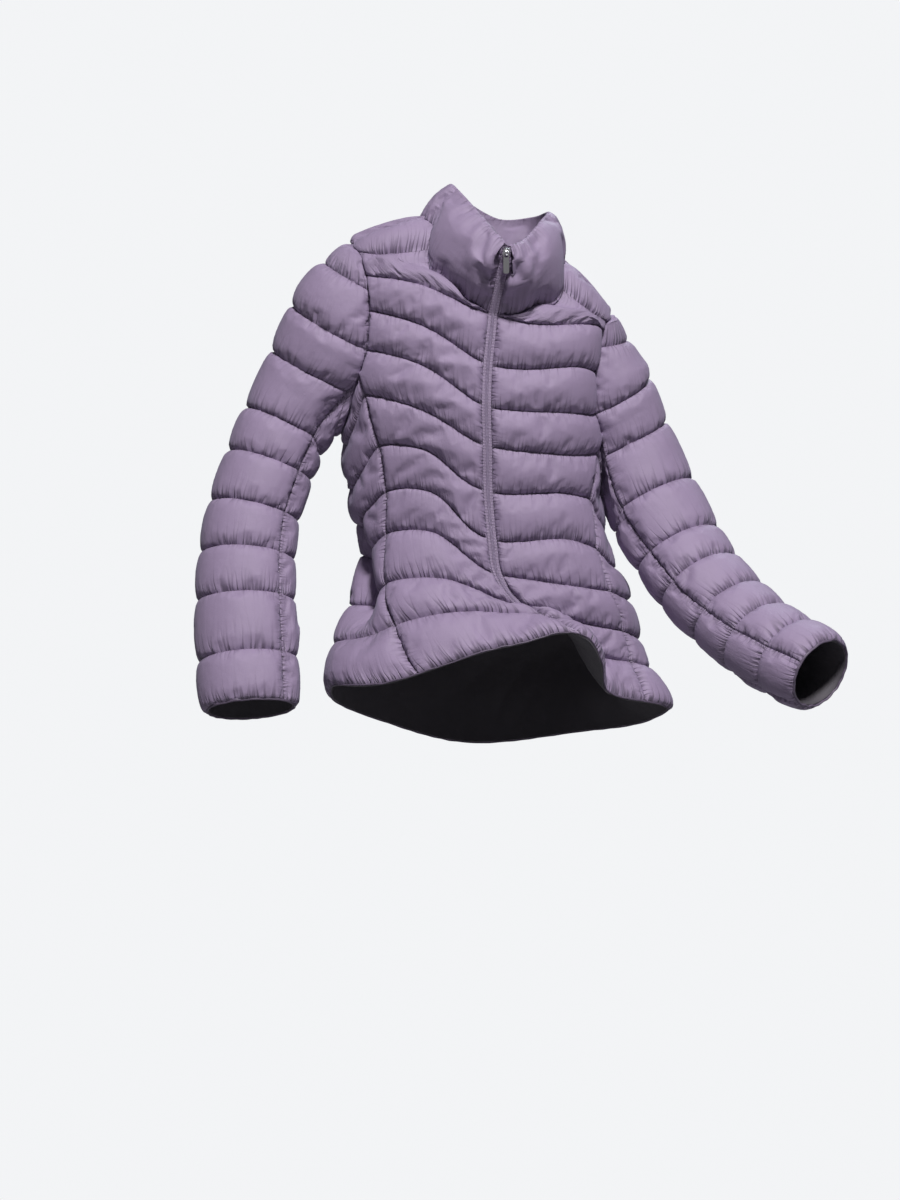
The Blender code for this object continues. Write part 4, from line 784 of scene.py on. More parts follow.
class Sleeve:
    """The seam surface of one sleeve; side is +1 for the wearer's left and -1 for the right."""

    def __init__(self, side, table):
        self.side = side
        self.table = np.asarray(table, float)
        self.fit_cap()

    def frame(self, seam):
        """Middle, direction down the arm, outward, forward, half width and half depth."""
        here = smooth(self.table, seam)
        ahead = smooth(self.table, np.add(seam, SLOPE_STEP))[..., :3]
        behind = smooth(self.table, np.subtract(seam, SLOPE_STEP))[..., :3]
        run = unit(ahead - behind)
        side = np.zeros_like(run)
        side[..., 0] = self.side
        outward = unit(side - run * np.sum(side * run, -1, keepdims=True))
        forward = np.cross(run, outward) * self.side
        return here[..., :3], run, outward, forward, here[..., 3], here[..., 4]

    def tube(self, seam, around):
        """Points of the sleeve; the angle round the arm is from its outer line to the front."""
        middle, _, outward, forward, half, depth = self.frame(seam)
        a = np.radians(around)
        return (middle + outward * (half * np.cos(a))[..., None]
                + forward * (depth * np.sin(a))[..., None])

    def normal(self, seam, points):
        middle, run, outward, forward, half, depth = self.frame(seam)
        off = points - middle
        return unit(outward * (np.sum(off * outward, -1) / half ** 2)[..., None]
                    + forward * (np.sum(off * forward, -1) / depth ** 2)[..., None])

    def locate(self, points):
        """Seam number and angle round the arm of points near the sleeve."""
        tries = np.arange(self.table[0, 0], CAP_LOWEST, CAP_STEP)
        middle, run = self.frame(tries)[:2]
        apart = points[:, None] - middle[None]
        off = np.abs(np.sum(apart * run[None], -1)) + CAP_NEAREST * np.linalg.norm(apart, axis=-1)
        seam = tries[off.argmin(1)]
        middle, _, outward, forward, half, depth = self.frame(seam)
        from_middle = points - middle
        around = np.degrees(np.arctan2(np.sum(from_middle * forward, -1) / depth,
                                       np.sum(from_middle * outward, -1) / half))
        return seam, around

    def fit_cap(self):
        """Find where the armhole's points lie on the sleeve, and how far off its surface."""
        turn_front = armhole_edge(CAP_ROWS, True)
        turn_back = armhole_edge(CAP_ROWS, False)
        bottom_front, bottom_back = armhole_at(CORNER, True), armhole_at(CORNER, False)
        under = smooth(ARMHOLE, bottom_front + (bottom_back - bottom_front) * SIDE_SPLIT)
        self.holes = {}
        for key, pairs in (("front", turn_front), ("back", turn_back), ("under", under)):
            pairs = pairs.copy()
            pairs[:, 0] *= self.side
            points = body(pairs[:, 0], pairs[:, 1])
            seam, around = self.locate(points)
            if key == "under":
                around = np.where(around < 0, around + 360, around)
            elif key == "front":
                around = np.where(around < -90, around + 360, around)
            else:
                around = np.where(around > 90, around - 360, around)
            outward = body_normal(pairs[:, 0], pairs[:, 1])
            self.holes[key] = Hole(points, outward, seam, around)


def sleeve_row(row):
    """The sleeve's row that meets this row of the body at the cap."""
    table = np.asarray(SLEEVE_ROWS)
    return np.interp(row, table[:, 0], table[:, 1])


def sleeve_panels(side, table, word):
    """The top sleeve with its cap, and the under sleeve."""
    arm = Sleeve(side, table)
    low = np.arange(CAP_BASE + 1 / STEPS, CUFF + 0.01, 1 / STEPS)
    settle = fade((low - CAP_BASE) / SEAM_SETTLE)
    front, back, under = (arm.holes[key] for key in ("front", "back", "under"))
    split = SLEEVE_SPLIT
    shoulder = front.points[-1]

    # rows of the cap from just below the shoulder, then rows round the arm
    seam_front = np.concatenate([front.seam[-2::-1], low + (front.seam[0] - CAP_BASE) * settle])
    seam_back = np.concatenate([back.seam[-2::-1], low + (back.seam[0] - CAP_BASE) * settle])
    turn_front = np.concatenate(
        [front.around[-2::-1], UNDER_ANGLE + (front.around[0] - UNDER_ANGLE) * settle])
    turn_back = np.concatenate(
        [back.around[-2::-1], -UNDER_ANGLE + (back.around[0] + UNDER_ANGLE) * settle])
    seams = seam_front[:, None] + (seam_back - seam_front)[:, None] * split
    turns = turn_front[:, None] + (turn_back - turn_front)[:, None] * split
    points = arm.tube(seams, turns)
    cap = len(CAP_ROWS) - 1
    off_front = front.points[-2::-1] - points[:cap, 0]
    off_back = back.points[-2::-1] - points[:cap, -1]
    hold = fade((low - CAP_BASE) / CAP_HOLD)[:, None]
    off_front = np.concatenate([off_front, off_front[-1] * hold])
    off_back = np.concatenate([off_back, off_back[-1] * hold])
    near = fade(split / CAP_SHARE)[None, :, None]
    points = points + off_front[:, None] * near + off_back[:, None] * near[:, ::-1]
    ends = np.stack([points[0, 0], shoulder, points[0, -1]])
    points[0] = between(split, (0, 0.5, 1), ends)
    normals = arm.normal(seams, points)
    rows = np.concatenate([sleeve_row(CAP_ROWS[-2::-1]), low])
    peak = unit(normals[0, len(split) // 2] + front.outward[-1])
    for col, key, hole in ((0, "front", front), (-1, "back", back)):
        normals[:cap, col] = unit(normals[:cap, col] + hole.outward[-2::-1])
        SEAM_NORMALS[(word, key)] = np.vstack([normals[:cap, col][::-1], peak])
    ends = np.stack([normals[0, 0], peak, normals[0, -1]])
    normals[0] = between(split, (0, 0.5, 1), ends)
    seam_edge = {col: (points[cap - 1:, col].copy(), normals[cap - 1:, col].copy())
                 for col in (0, -1)}
    top = Panel("top_sleeve_" + word, points, normals, rows, SLEEVE_PUFF, TOP_ROUND, (0,))

    # the under sleeve hangs from the bottom of the armhole
    low = np.concatenate([[CAP_BASE], low])
    settle = fade((low - CAP_BASE) / UNDER_SETTLE)[:, None]
    settle_turn = fade((low - CAP_BASE) / SEAM_SETTLE)[:, None]
    share = SIDE_SPLIT[None, :]
    seams = low[:, None] + (under.seam[None] - CAP_BASE) * settle
    straight = UNDER_ANGLE + (360 - 2 * UNDER_ANGLE) * share
    turns = straight + (under.around[None] - straight) * settle_turn
    points = arm.tube(seams, turns)
    hold = fade((low - CAP_BASE) / UNDER_HOLD)[:, None, None]
    points = points + (under.points - points[0])[None] * hold
    for col in (0, -1):
        shift = seam_edge[col][0] - points[:, col]
        near = fade((share[0] if col == 0 else 1 - share[0]) / UNDER_SHIFT)
        points = points + shift[:, None] * near[None, :, None]
    normals = arm.normal(seams, points)
    normals[:, 0] = seam_edge[0][1]
    normals[:, -1] = seam_edge[-1][1]
    normals[0, 1:-1] = unit(normals[0, 1:-1] + under.outward[1:-1])
    SEAM_NORMALS[(word, "under")] = normals[0]
    PRESSED[word] = under.points
    below = Panel("under_sleeve_" + word, points, normals, low, SLEEVE_PUFF * UNDER_SHARE,
                  UNDER_ROUND, (0,),
                  lambda grid, behind: pressed(grid, under.points, side, 1, behind))
    return arm, top, below


arm_left, *sleeve_left = sleeve_panels(+1, LEFT_SLEEVE, "left")
arm_right, *sleeve_right = sleeve_panels(-1, RIGHT_SLEEVE, "right")
sleeves = sleeve_left + sleeve_right
fill_with_down(sleeves, 11, shrink=-0.045, bend=7.0)
for panel in sleeves:
    sew_panel(panel)


# ---- collar ----
# A stand collar in one channel, purple inside and out, filled like the body and gathered onto
# the neck seam. Its front edges are sewn to the zip's two tapes, right up to the top.
COLLAR_TOP = (     # its top edge, from the zip round by the wearer's left and back to the zip
    # turn      x       y       z
    (0.00,  0.012, -0.112,  0.008),
    (0.04,  0.023, -0.107,  0.012),
    (0.10,  0.036, -0.090,  0.022),
    (0.20,  0.056, -0.052,  0.048),
    (0.30,  0.066, -0.006,  0.065),
    (0.40,  0.048,  0.038,  0.064),
    (0.50,  0.004,  0.058,  0.064),
    (0.60, -0.040,  0.040,  0.086),
    (0.70, -0.056, -0.004,  0.100),
    (0.80, -0.037, -0.048,  0.074),
    (0.90, -0.012, -0.088,  0.040),
    (0.96,  0.001, -0.106,  0.022),
    (1.00,  0.012, -0.112,  0.008),
)
COLLAR_STEPS = 40
COLLAR_BULGE = 0.004     # how far it bows out between the neck and its top edge
COLLAR_EASE = 0.12       # share of its length beside the zip where the bow dies away
COLLAR_HALF = 0.00143    # half its wall at the seams
COLLAR_ROUND = 0.018     # width over which its puff rises beside the zip
COLLAR_FULL = 0.6        # how square its puff is
COLLAR_INSIDE = 0.8      # rise of its inside, as a share
COLLAR_PUFF = 0.0050     # rise of its puff
TAPE_HALF = 0.0062       # half the width of the closed zip's two tapes
COLLAR_HANG = 0.016      # how far the front of the collar hangs over its neck seam
COLLAR_HANG_REACH = 0.24        # share of its length from the zip over which that dies away
HANG_HIGH, HANG_FULL = 2.1, 0.8 # how far up it hangs over most, and how square that is
LIP_CRUMPLE = 0.0032     # how far the lip is crumpled beside the pull, and over what share
LIP_REACH = 0.13
LIP_WAVES = ((150, 9), (97, -15))       # waves of the crumple along the collar and up it


def collar_ease(turn):
    """The bulge dies away towards the zip."""
    return np.minimum(1, np.minimum(turn, 1 - turn) / COLLAR_EASE)[None, :, None]


def collar():
    """The stand collar, from the zip round the back to the zip again, and its front edges."""
    back = smooth(NECK_BACK, NECK_SPLIT)
    left, right = neck_edge(1), neck_edge(-1)[::-1] + [360, 0]
    pairs = np.concatenate([left, back[1:], right[1:]])
    base = body(pairs[:, 0], pairs[:, 1])
    run = run_along(base)
    turn = run / run[-1]
    top = smooth(COLLAR_TOP, turn)
    across = unit(base[0] - base[-1])
    top[0] += across * TAPE_HALF
    top[-1] -= across * TAPE_HALF
    part = np.linspace(0, 1, COLLAR_STEPS + 1)[:, None, None]
    points = base[None] + (top - base)[None] * part
    middle = points.mean(axis=1, keepdims=True)
    outward = points - middle
    outward[..., 2] = 0
    points = points + unit(outward) * COLLAR_BULGE * np.sin(pi * part) * collar_ease(turn)
    along = np.gradient(points, axis=1)
    up = np.gradient(points, axis=0)
    normals = unit(np.cross(along, up))
    facing = unit(np.cross(points[:, 0] - points[:, -1], up[:, 0] + up[:, -1]))
    normals[:, 0] = facing
    normals[:, -1] = facing
    normals[0] = unit(normals[0] + body_normal(pairs[:, 0], pairs[:, 1]))
    first, last = len(left) - 1, len(left) + len(back) - 2
    SEAM_NORMALS[("neck", "left")] = normals[0, :first + 1]
    SEAM_NORMALS[("neck", "back")] = normals[0, first:last + 1]
    SEAM_NORMALS[("neck", "right")] = normals[0, last:][::-1]
    rise = np.sin(pi * part[:, 0, 0]) ** COLLAR_FULL
    beside = edge_rise(distance_along(points), COLLAR_ROUND)
    height = COLLAR_HALF + COLLAR_PUFF * rise[:, None] * beside
    return points, normals, height, (points[:, 0], facing), (points[:, -1], facing)


collar_points, collar_normals, collar_height, edge_left, edge_right = collar()
collar_rows = np.linspace(0, 1, COLLAR_STEPS + 1)
around = np.linspace(0, 1, collar_points.shape[1])
from_tapes = np.minimum(around, 1 - around)
overhang = COLLAR_HANG * fade(from_tapes / COLLAR_HANG_REACH)
overhang = overhang * edge_rise(distance_along(collar_points), COLLAR_ROUND)
overhang = np.sin(pi * collar_rows ** HANG_HIGH)[:, None] ** HANG_FULL * overhang
crumpled = fade(from_tapes / LIP_REACH) * np.sin(pi * collar_rows ** 2)[:, None]
waves = sum(np.sin(wide * around + high * collar_rows[:, None]) for wide, high in LIP_WAVES)
overhang += LIP_CRUMPLE * crumpled * waves
outside = Panel("collar_outside", collar_points, collar_normals, collar_rows, 0,
                rise=collar_height + overhang - SEAM_HALF)
inside = Panel("collar_inside", collar_points[:, ::-1], -collar_normals[:, ::-1], collar_rows, 0,
               rise=(collar_height * COLLAR_INSIDE - SEAM_HALF)[:, ::-1])
fill_with_down([outside, inside], 23, shrink=-0.08, bend=4.0)
neck = sewn_up("down_collar", outside.face, inside.face[:, ::-1], shell_cloth, shell_cloth,
               collar_rows)
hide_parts("collar")
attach(neck, "jacket")


# ---- body: fronts, side panels and back ----
# Two fronts, two narrow side panels and a back, all quilted in ten channels that run on round
# the body, then joined at the princess seams, the shoulders and the armholes.
PUFF = 0.0105            # rise of a full body channel above its seams
SHOULDER_ROUND = 0.09    # more of it where the front's edge turns over the shoulder, at this level
SHOULDER_FLAT = 10.2
SHOULDER_FADE = 0.9      # levels above and below over which it dies away


def front_panel(side, word):
    """A front, from the zip to the side panel and the armhole, with its shoulder."""
    split = FRONT_SPLIT
    start = front_start()
    end = side_edge(MID_ROWS, True)
    low = coons(start[0] + (end[0] - start[0]) * split[:, None],
                start[-1] + (end[-1] - start[-1]) * split[:, None],
                start, end, MID_ROWS / NECK_POINT, split)
    part = (HIGH_ROWS - NECK_POINT) / (TOP - NECK_POINT)
    neck = neck_edge(1)
    arm = armhole_edge(HIGH_ROWS, True)
    high = coons(low[-1], neck[-1] + (arm[-1] - neck[-1]) * split[:, None], neck, arm, part, split)
    pairs = np.concatenate([low, high[1:]])
    rows = np.concatenate([MID_ROWS, HIGH_ROWS[1:]])
    pairs[..., 0] *= side
    points = body(pairs[..., 0], pairs[..., 1])
    normals = body_normal(pairs[..., 0], pairs[..., 1])
    first = int(CORNER * STEPS)
    normals[first:, -1] = SEAM_NORMALS[(word, "front")]
    normals[len(MID_ROWS) - 1:, 0] = SEAM_NORMALS[("neck", word)]
    beside = np.abs(rows - SHOULDER_FLAT) / SHOULDER_FADE
    reach = EDGE_ROUND + SHOULDER_ROUND * fade(beside)[:, None]
    return Panel("front_" + word, points, normals, rows, PUFF, reach)


def side_panel(side, word):
    """A side panel, from the hem to the bottom of the armhole."""
    split = SIDE_SPLIT
    front, back = side_edge(LOW_ROWS, True), side_edge(LOW_ROWS, False)
    bottom_front, bottom_back = armhole_at(CORNER, True), armhole_at(CORNER, False)
    top = smooth(ARMHOLE, bottom_front + (bottom_back - bottom_front) * split)
    pairs = coons(front[0] + (back[0] - front[0]) * split[:, None], top, front, back,
                  (LOW_ROWS / CORNER) ** 2, split)
    pairs[..., 0] *= side
    points = body(pairs[..., 0], pairs[..., 1])
    normals = body_normal(pairs[..., 0], pairs[..., 1])
    normals[-1] = SEAM_NORMALS[(word, "under")]
    return Panel("side_" + word, points, normals, LOW_ROWS, PUFF * SIDE_SHARE, EDGE_ROUND, (-1,),
                 lambda grid, behind: pressed(grid, PRESSED[word], side, -1, behind))


def back_split():
    """Columns of the back: one shoulder, the neck, the other shoulder."""
    shoulder = BACK_SHOULDER * (1 - FRONT_SPLIT[::-1])
    neck = BACK_SHOULDER + (1 - 2 * BACK_SHOULDER) * NECK_SPLIT
    return np.concatenate([shoulder, neck[1:], (1 - shoulder[::-1])[1:]])


def back_panel():
    """The back, from one side panel and armhole to the other, up to the neck and shoulders."""
    shoulder = FRONT_SPLIT[::-1]
    low_split = back_split()
    left, right = side_edge(MID_ROWS, False), mirrored(side_edge(MID_ROWS, False))
    low = coons(left[0] + (right[0] - left[0]) * low_split[:, None],
                left[-1] + (right[-1] - left[-1]) * low_split[:, None],
                left, right, MID_ROWS / NECK_POINT, low_split)
    arm = armhole_edge([TOP], False)[0]
    neck = smooth(NECK_BACK, NECK_SPLIT)
    over = neck[0] + (arm - neck[0]) * shoulder[:, None]
    top = np.concatenate([over, neck[1:], mirrored(over)[::-1][1:]])
    part = (HIGH_ROWS - NECK_POINT) / (TOP - NECK_POINT)
    left, right = armhole_edge(HIGH_ROWS, False), mirrored(armhole_edge(HIGH_ROWS, False))
    high = coons(low[-1], top, left, right, part, low_split)
    pairs = np.concatenate([low, high[1:]])
    rows = np.concatenate([MID_ROWS, HIGH_ROWS[1:]])
    points = body(pairs[..., 0], pairs[..., 1])
    normals = body_normal(pairs[..., 0], pairs[..., 1])
    first = int(CORNER * STEPS)
    normals[first:, 0] = SEAM_NORMALS[("left", "back")]
    normals[first:, -1] = SEAM_NORMALS[("right", "back")]
    at = len(shoulder) - 1
    normals[-1, at:at + len(NECK_SPLIT)] = SEAM_NORMALS[("neck", "back")]
    return Panel("back", points, normals, rows, PUFF)


fronts = [front_panel(+1, "left"), front_panel(-1, "right")]
sides = [side_panel(+1, "left"), side_panel(-1, "right")]
back = back_panel()
body_panels = fronts + sides + [back]
fill_with_down(body_panels, 37)
for panel in body_panels:
    sew_panel(panel)


# ---- quilting stitches ----
# Every channel is closed by a row of lockstitch in matching thread, straight through the shell,
# the down and the lining; the stitches lie at the bottom of the valleys.
STITCH = (0.0034, 0.0025, 0.00032)    # pitch, length and half thickness of a stitch
STITCH_ALONG = (0, 0.2, 0.8, 1.0)     # its rings along it, their width and how far each is sunk
STITCH_WIDE = (0.35, 1, 1, 0.35)
STITCH_RISE = (-1.2, 0.2, 0.2, -1.2)
STITCH_ENDS = [(3, 2, 1, 0), (12, 13, 14, 15)]


def stitch_row(line, outward, lift=0.0002, stitch=STITCH):
    """Separate stitches along a line of points, each a thin bar pinched at both ends."""
    pitch, length, half = stitch
    run = run_along(line)
    starts = np.arange(pitch / 2, run[-1] - length, pitch)
    parts = starts[:, None] + np.array(STITCH_ALONG) * length
    middle = between(parts, run, line)
    out = unit(between(parts, run, outward))
    ahead = unit(middle[:, -1:] - middle[:, :1])
    aside = unit(np.cross(ahead, out))
    width = half * np.array(STITCH_WIDE)[None, :, None]
    middle = middle + out * (lift + half * np.array(STITCH_RISE)[None, :, None])
    rings = np.stack([middle + aside * width, middle + out * width,
                      middle - aside * width, middle - out * width], 2)
    return rings.reshape(-1, 4, 4, 3)


def bars(count, sides, ends=()):
    """Faces for this many bars of four rings each, with these faces at their ends."""
    one = [(sides * a + b, sides * a + (b + 1) % sides,
            sides * a + sides + (b + 1) % sides, sides * a + sides + b)
           for a in range(3) for b in range(sides)]
    first = np.arange(count)[:, None, None] * 4 * sides
    return (first + np.array([*one, *ends])[None]).reshape(-1, 4).tolist()


YARN = {"Crinkle size": 900.0, "Crinkle": 0.0001, "Thread size": 450.0, "Thread": 0.0}
thread = cloth("purple thread", (0.300, 0.228, 0.335), (0.235, 0.178, 0.268), 0.6, YARN)


def sew_row(name, rows_of_stitches, yarn=thread):
    """Rows of stitches as one piece."""
    rings = np.concatenate(rows_of_stitches)
    made = add_mesh(name, rings, bars(len(rings), 4, STITCH_ENDS))
    made.data.materials.append(yarn)
    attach(made, "jacket")


def quilting(panels):
    """The rows of stitches along the whole rows of these panels, inside their edges."""
    sewn_rows = []
    for panel in panels:
        whole = np.flatnonzero(np.abs(panel.rows - np.round(panel.rows)) < 1e-6)
        for i in whole:
            if 0 < i < len(panel.rows) - 1:
                sewn_rows.append(stitch_row(panel.face[i], panel.normals[i]))
    return sewn_rows


sew_row("quilting_body", quilting(body_panels))
sew_row("quilting_sleeves", quilting(sleeves))


# ---- hem and cuff edges ----
# The shell is turned in round a flat elastic at the hem and at both cuffs and sewn down, which
# gathers the edge into small scallops.
HEM_EDGE = (0.0009, 0.0010, 0.011)      # half thickness, swing and pitch of the scallops
CUFF_EDGE = (0.0014, 0.0012, 0.007)
EDGE_STEP = 0.0012       # distance between the rings of an edge
EDGE_SWELL = (0.8, 1.25) # how thin and how thick it gets between two scallops
EDGE_EASE = 0.01         # distance from its ends over which the swing dies away
EDGE_TALL = 1.5          # its height, as a share of its thickness


def turned_edge(name, line, outward, along, size):
    """A soft rolled edge along a line; size is one of the edges above."""
    radius, pucker, pitch = size
    run = run_along(line)
    at = np.linspace(0, run[-1], int(run[-1] / EDGE_STEP))
    middle = between(at, run, line)
    out = unit(between(at, run, outward))
    down = unit(between(at, run, along))
    chance = np.random.default_rng(5)
    knots = np.arange(0, run[-1] + pitch, pitch)
    swing = np.interp(at, knots, chance.uniform(-1, 1, len(knots)))
    swell = np.interp(at, knots, chance.uniform(*EDGE_SWELL, len(knots)))
    ease = np.minimum(1, np.minimum(at, run[-1] - at) / EDGE_EASE)[:, None]
    middle = middle + out * (swing * pucker)[:, None] * ease
    turn = np.radians(np.arange(0, 360, 30))
    thick = (radius * swell)[:, None]
    rings = (middle[:, None] + out[:, None] * (np.cos(turn)[None] * thick)[..., None]
             + down[:, None] * (np.sin(turn)[None] * radius * EDGE_TALL)[..., None])
    made = add_mesh(name, rings, grid_faces(len(at), len(turn), True).tolist())
    made.data.materials.append(shell_cloth)
    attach(made, "jacket")


# round the hem from the zip; the right side panel and front run the other way
hem_order = ((fronts[0], 1), (sides[0], 1), (back, 1), (sides[1], -1), (fronts[1], -1))
hem_line = np.concatenate([panel.points[0][::way] for panel, way in hem_order])
hem_out = np.concatenate([panel.normals[0][::way] for panel, way in hem_order])
hem_up = np.concatenate([(panel.points[2] - panel.points[0])[::way] for panel, way in hem_order])
turned_edge("hem_edge", hem_line, hem_out, hem_up, HEM_EDGE)
for word, (over, under) in (("left", sleeve_left), ("right", sleeve_right)):
    line, out, up = (
        np.concatenate([top, low[::-1], top[:1]]) for top, low in (
            (over.points[-1], under.points[-1]),
            (over.normals[-1], under.normals[-1]),
            (over.points[-1] - over.points[-3], under.points[-1] - under.points[-3])))
    turned_edge("cuff_edge_" + word, line, out, up, CUFF_EDGE)


# ---- linings ----
# Black lining shows inside the hem and the cuffs: thin, loose cloth sewn in at the edge, which
# hangs clear of the quilted wall above it. The body's lining has its own seams at the back.
LINING_WALL = 0.0012
LINING_DROP = 0.0035     # how far it hangs clear of the shell's inside, and how much its waves add
LINING_SWING = 0.0045
LINING_WAVES = 9
LINING_TOP = 4           # level up to which it shows at the hem, and sleeve seam at the cuffs
CUFF_LINING = 8.0


def loose_lining(name, node, points, normals, above, cut, area, seed):
    """A thin skin that falls away from the shell's inside within one channel of the edge."""
    chance = np.random.default_rng(seed)
    rows, cols = points.shape[:2]
    wave = np.zeros((rows, cols))
    for _ in range(LINING_WAVES):
        wide, high = chance.uniform(2, 9), chance.uniform(0.5, 2.5)
        across = np.linspace(0, 2 * pi * wide, cols)[None]
        up = np.linspace(0, 2 * pi * high, rows)[:, None]
        wave += np.sin(across + chance.uniform(-1, 1) * up + chance.uniform(0, 6)) / LINING_WAVES
    free = 1 - fade(above)
    drop = SEAM_HALF + GAP + (LINING_DROP + LINING_SWING * np.abs(wave)) * free
    outer = points - normals * drop[..., None]
    made = sewn_up(name, outer, outer - normals * LINING_WALL, lining_cloth, lining_cloth)
    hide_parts(node)
    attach(made, "jacket")


def measure(points):
    """Size and area of a cut that would lie on this grid; the area is no more than its size gives."""
    across = np.linalg.norm(np.diff(points, axis=1), axis=-1)
    along = np.linalg.norm(np.diff(points, axis=0), axis=-1)
    corner = points[:-1, :-1]
    squares = np.cross(points[1:, :-1] - corner, points[:-1, 1:] - corner)
    width, length = float(across.sum(1).max()), float(along.sum(0).max())
    return (width, length), min(float(np.sum(np.linalg.norm(squares, axis=-1))), width * length)


lining_rows = np.linspace(0, LINING_TOP, 41)
zip_edge = from_zip(lining_rows, TAPE_HALF)
front_seam = smooth(FRONT_SEAM, lining_rows)[:, 0]
back_seam = smooth(BACK_SEAM, lining_rows)[:, 0]
ahead = zip_edge[:, None] + (front_seam - zip_edge)[:, None] * FRONT_SPLIT
beside = front_seam[:, None] + (back_seam - front_seam)[:, None] * SIDE_SPLIT[1:]
half = np.concatenate([ahead, beside], 1)
behind = back_seam[:, None] + (360 - 2 * back_seam)[:, None] * back_split()
for number, (node, angles) in enumerate((("lining_front_left", half), ("lining_front_right", -half),
                                         ("lining_back", behind))):
    levels = np.repeat(lining_rows[:, None], angles.shape[1], 1)
    points = body(angles, levels)
    loose_lining("loose_" + node, node, points, body_normal(angles, levels), levels,
                 *measure(points), 50 + number)
for number, (arm, word) in enumerate(((arm_left, "left"), (arm_right, "right"))):
    seams = np.arange(CUFF, CUFF_LINING - 0.01, -0.05)
    over = UNDER_ANGLE * (2 * SLEEVE_SPLIT - 1)
    below = UNDER_ANGLE + (360 - 2 * UNDER_ANGLE) * SIDE_SPLIT
    turns = np.concatenate([over, below[1:]])
    seams = np.repeat(seams[:, None], len(turns), 1)
    points = arm.tube(seams, np.repeat(turns[None], len(seams), 0))
    loose_lining("loose_lining_sleeve_" + word, "lining_sleeve_" + word, points,
                 arm.normal(seams, points), CUFF - seams, *measure(points), 60 + number)


# ---- zip: tapes, coils, slider and pull ----
# A coil zip sewn in from the hem to the collar's top edge. Each tape is woven polyester with its
# coil along the inner edge and two rows of stitching; the slider and its pull are bright metal.
zip_rows = np.linspace(0, NECK_POINT, 181)
low = body(0, zip_rows)
low_across = unit(body(2.0, zip_rows) - body(-2.0, zip_rows))
low_out = body_normal(0, zip_rows)
high = (edge_left[0] + edge_right[0]) / 2
high_across = unit(edge_left[0] - edge_right[0])
high_out = unit(edge_left[1] + edge_right[1])
low[-1] = (low[-1] + high[0]) / 2
zip_line = np.concatenate([low, high[1:]])
zip_across = np.concatenate([low_across, high_across[1:]])
zip_out = np.concatenate([low_out, high_out[1:]])
zip_run = run_along(zip_line)


def along_zip(at):
    """Place, across and outward directions at these distances from the hem."""
    place, aside, out = (between(at, zip_run, grid) for grid in (zip_line, zip_across, zip_out))
    return place, unit(aside), unit(out)


tape_cloth = cloth("woven zip tape", (0.330, 0.265, 0.395), (0.290, 0.230, 0.350), 0.62,
                   {"Crinkle size": 700.0, "Crinkle": 0.0001, "Thread size": 240.0, "Thread": 0.0002})
zip_thread = cloth("pale zip thread", (0.50, 0.42, 0.56), (0.44, 0.36, 0.50), 0.6, YARN)
coil_plastic = cloth("moulded coil", (0.37, 0.30, 0.44), (0.32, 0.26, 0.39), 0.38,
                     {"Crinkle size": 1200.0, "Crinkle": 0.00005, "Thread size": 240.0, "Thread": 0.0})
TAPE_PROFILE = ((0.0001, 0.0002), (0.0004, 0.0006), (0.0013, 0.0007),   # across and out
                (0.0022, 0.0006), (0.0025, 0.0004), (0.0040, 0.0004),
                (0.0050, 0.0006), (0.0060, 0.0004), (0.0064, 0.0002))
TAPE_BACK = -0.0009
TAPE_STEP = 0.0015       # distance between the rows of threads that are drawn
TAPE_SEWN = (0.0031, 0.0052)    # distance of its two rows of stitches from the middle of the zip
TAPE_STITCH = (0.0038, 0.0024, 0.00045)
TAPE_STITCH_LIFT = 0.0006
TOOTH_PITCH = 0.0017
COIL_END = 0.004         # distance of the first and last tooth from the zip's ends
TOOTH_REACH = np.array([-0.0003, 0.0003, 0.0016, 0.0023])      # the four rings of a tooth: across,
TOOTH_LIFT = np.array([0.0006, 0.0013, 0.0013, 0.0006])        # out, and half thickness
TOOTH_THICK = np.array([0.00035, 0.0006, 0.0006, 0.0003])
TOOTH_SIDES = 6
tape_at = np.arange(0, zip_run[-1], TAPE_STEP)
tape_place, tape_aside, tape_out = along_zip(tape_at)
profile = np.array(TAPE_PROFILE)
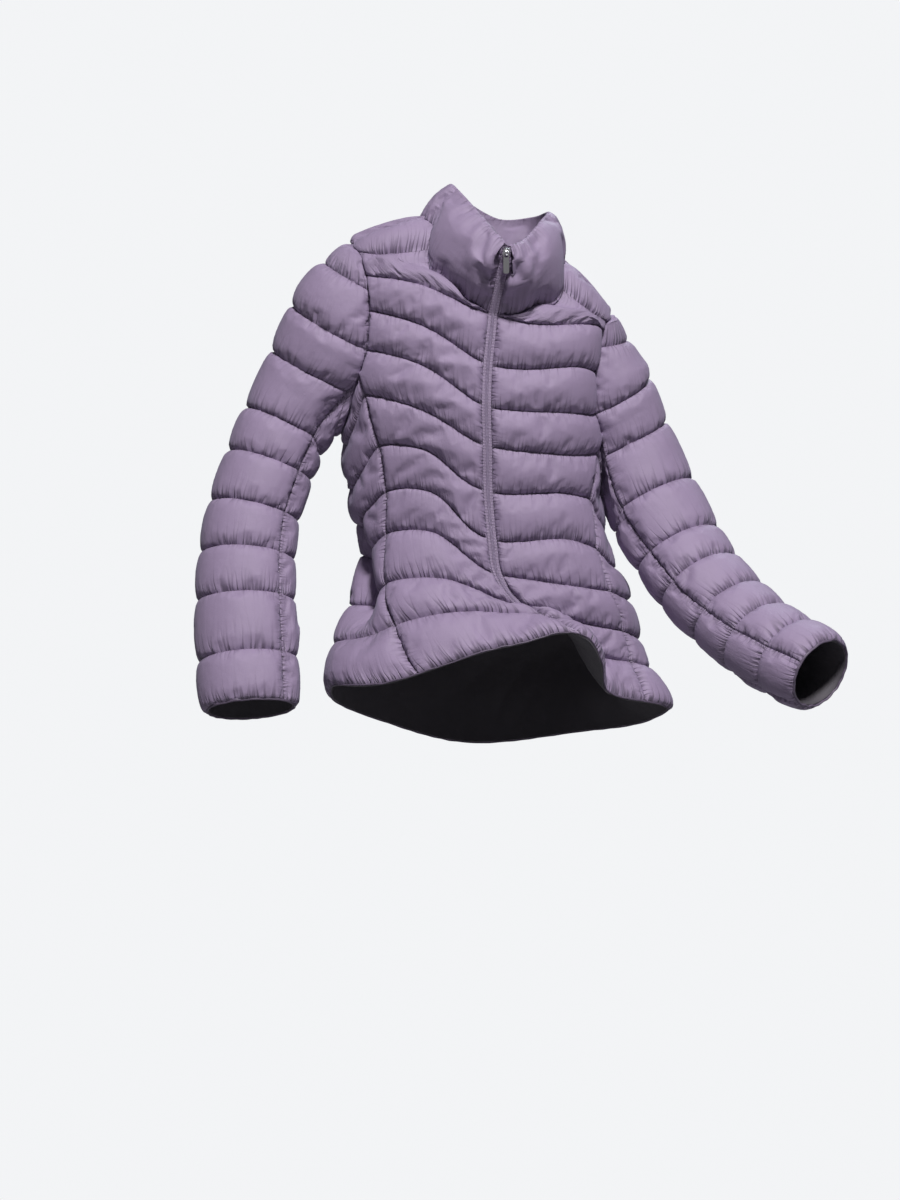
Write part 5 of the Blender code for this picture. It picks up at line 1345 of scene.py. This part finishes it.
for side, word in ((+1, "left"), (-1, "right")):
    flat = tape_place[:, None] + tape_aside[:, None] * (side * profile[None, :, :1])
    over = flat + tape_out[:, None] * profile[None, :, 1:]
    below = flat + tape_out[:, None] * TAPE_BACK
    tape = sewn_up("tape_" + word, over, below, tape_cloth, tape_cloth)
    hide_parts("zip_tape_" + word)
    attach(tape, "jacket")
    first = COIL_END + (TOOTH_PITCH / 2 if side > 0 else 0)
    teeth_at = np.arange(first, zip_run[-1] - COIL_END, TOOTH_PITCH)
    place, aside, out = along_zip(teeth_at)
    ahead = np.cross(out, aside)
    middle = (place[:, None] + aside[:, None] * (side * TOOTH_REACH)[None, :, None]
              + out[:, None] * TOOTH_LIFT[None, :, None])
    turn = np.radians(np.arange(0, 360, 360 // TOOTH_SIDES))
    thick = TOOTH_THICK[None, :, None]
    rings = (middle[:, :, None]
             + ahead[:, None, None] * (np.cos(turn)[None, None] * thick)[..., None]
             + out[:, None, None] * (np.sin(turn)[None, None] * thick)[..., None])
    teeth = add_mesh("coil_" + word, rings, bars(len(teeth_at), TOOTH_SIDES))
    teeth.data.materials.append(coil_plastic)
    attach(teeth, "jacket")
    tape_rows = [stitch_row(tape_place + tape_aside * side * width, tape_out, TAPE_STITCH_LIFT,
                            TAPE_STITCH) for width in TAPE_SEWN]
    sew_row("tape_stitches_" + word, tape_rows, zip_thread)

# the slider and the pull keep their own shapes and get brushed, lightly worn metal
metal = bpy.data.materials.new("bright zip metal")
metal.use_nodes = True
shader = metal.node_tree.nodes["Principled BSDF"]
shader.inputs["Base Color"].default_value = (0.62, 0.62, 0.65, 1)
shader.inputs["Metallic"].default_value = 1.0
brushed = metal.node_tree.nodes.new("ShaderNodeTexNoise")
brushed.inputs["Scale"].default_value = 900.0
brushed.inputs["Detail"].default_value = 4.0
wear = metal.node_tree.nodes.new("ShaderNodeMapRange")
wear.inputs["To Min"].default_value = 0.22
wear.inputs["To Max"].default_value = 0.42
metal.node_tree.links.new(brushed.outputs[0], wear.inputs["Value"])
metal.node_tree.links.new(wear.outputs[0], shader.inputs["Roughness"])
for node in ("zip_slider", "zip_pull"):
    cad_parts[node].data.materials.clear()
    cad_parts[node].data.materials.append(metal)
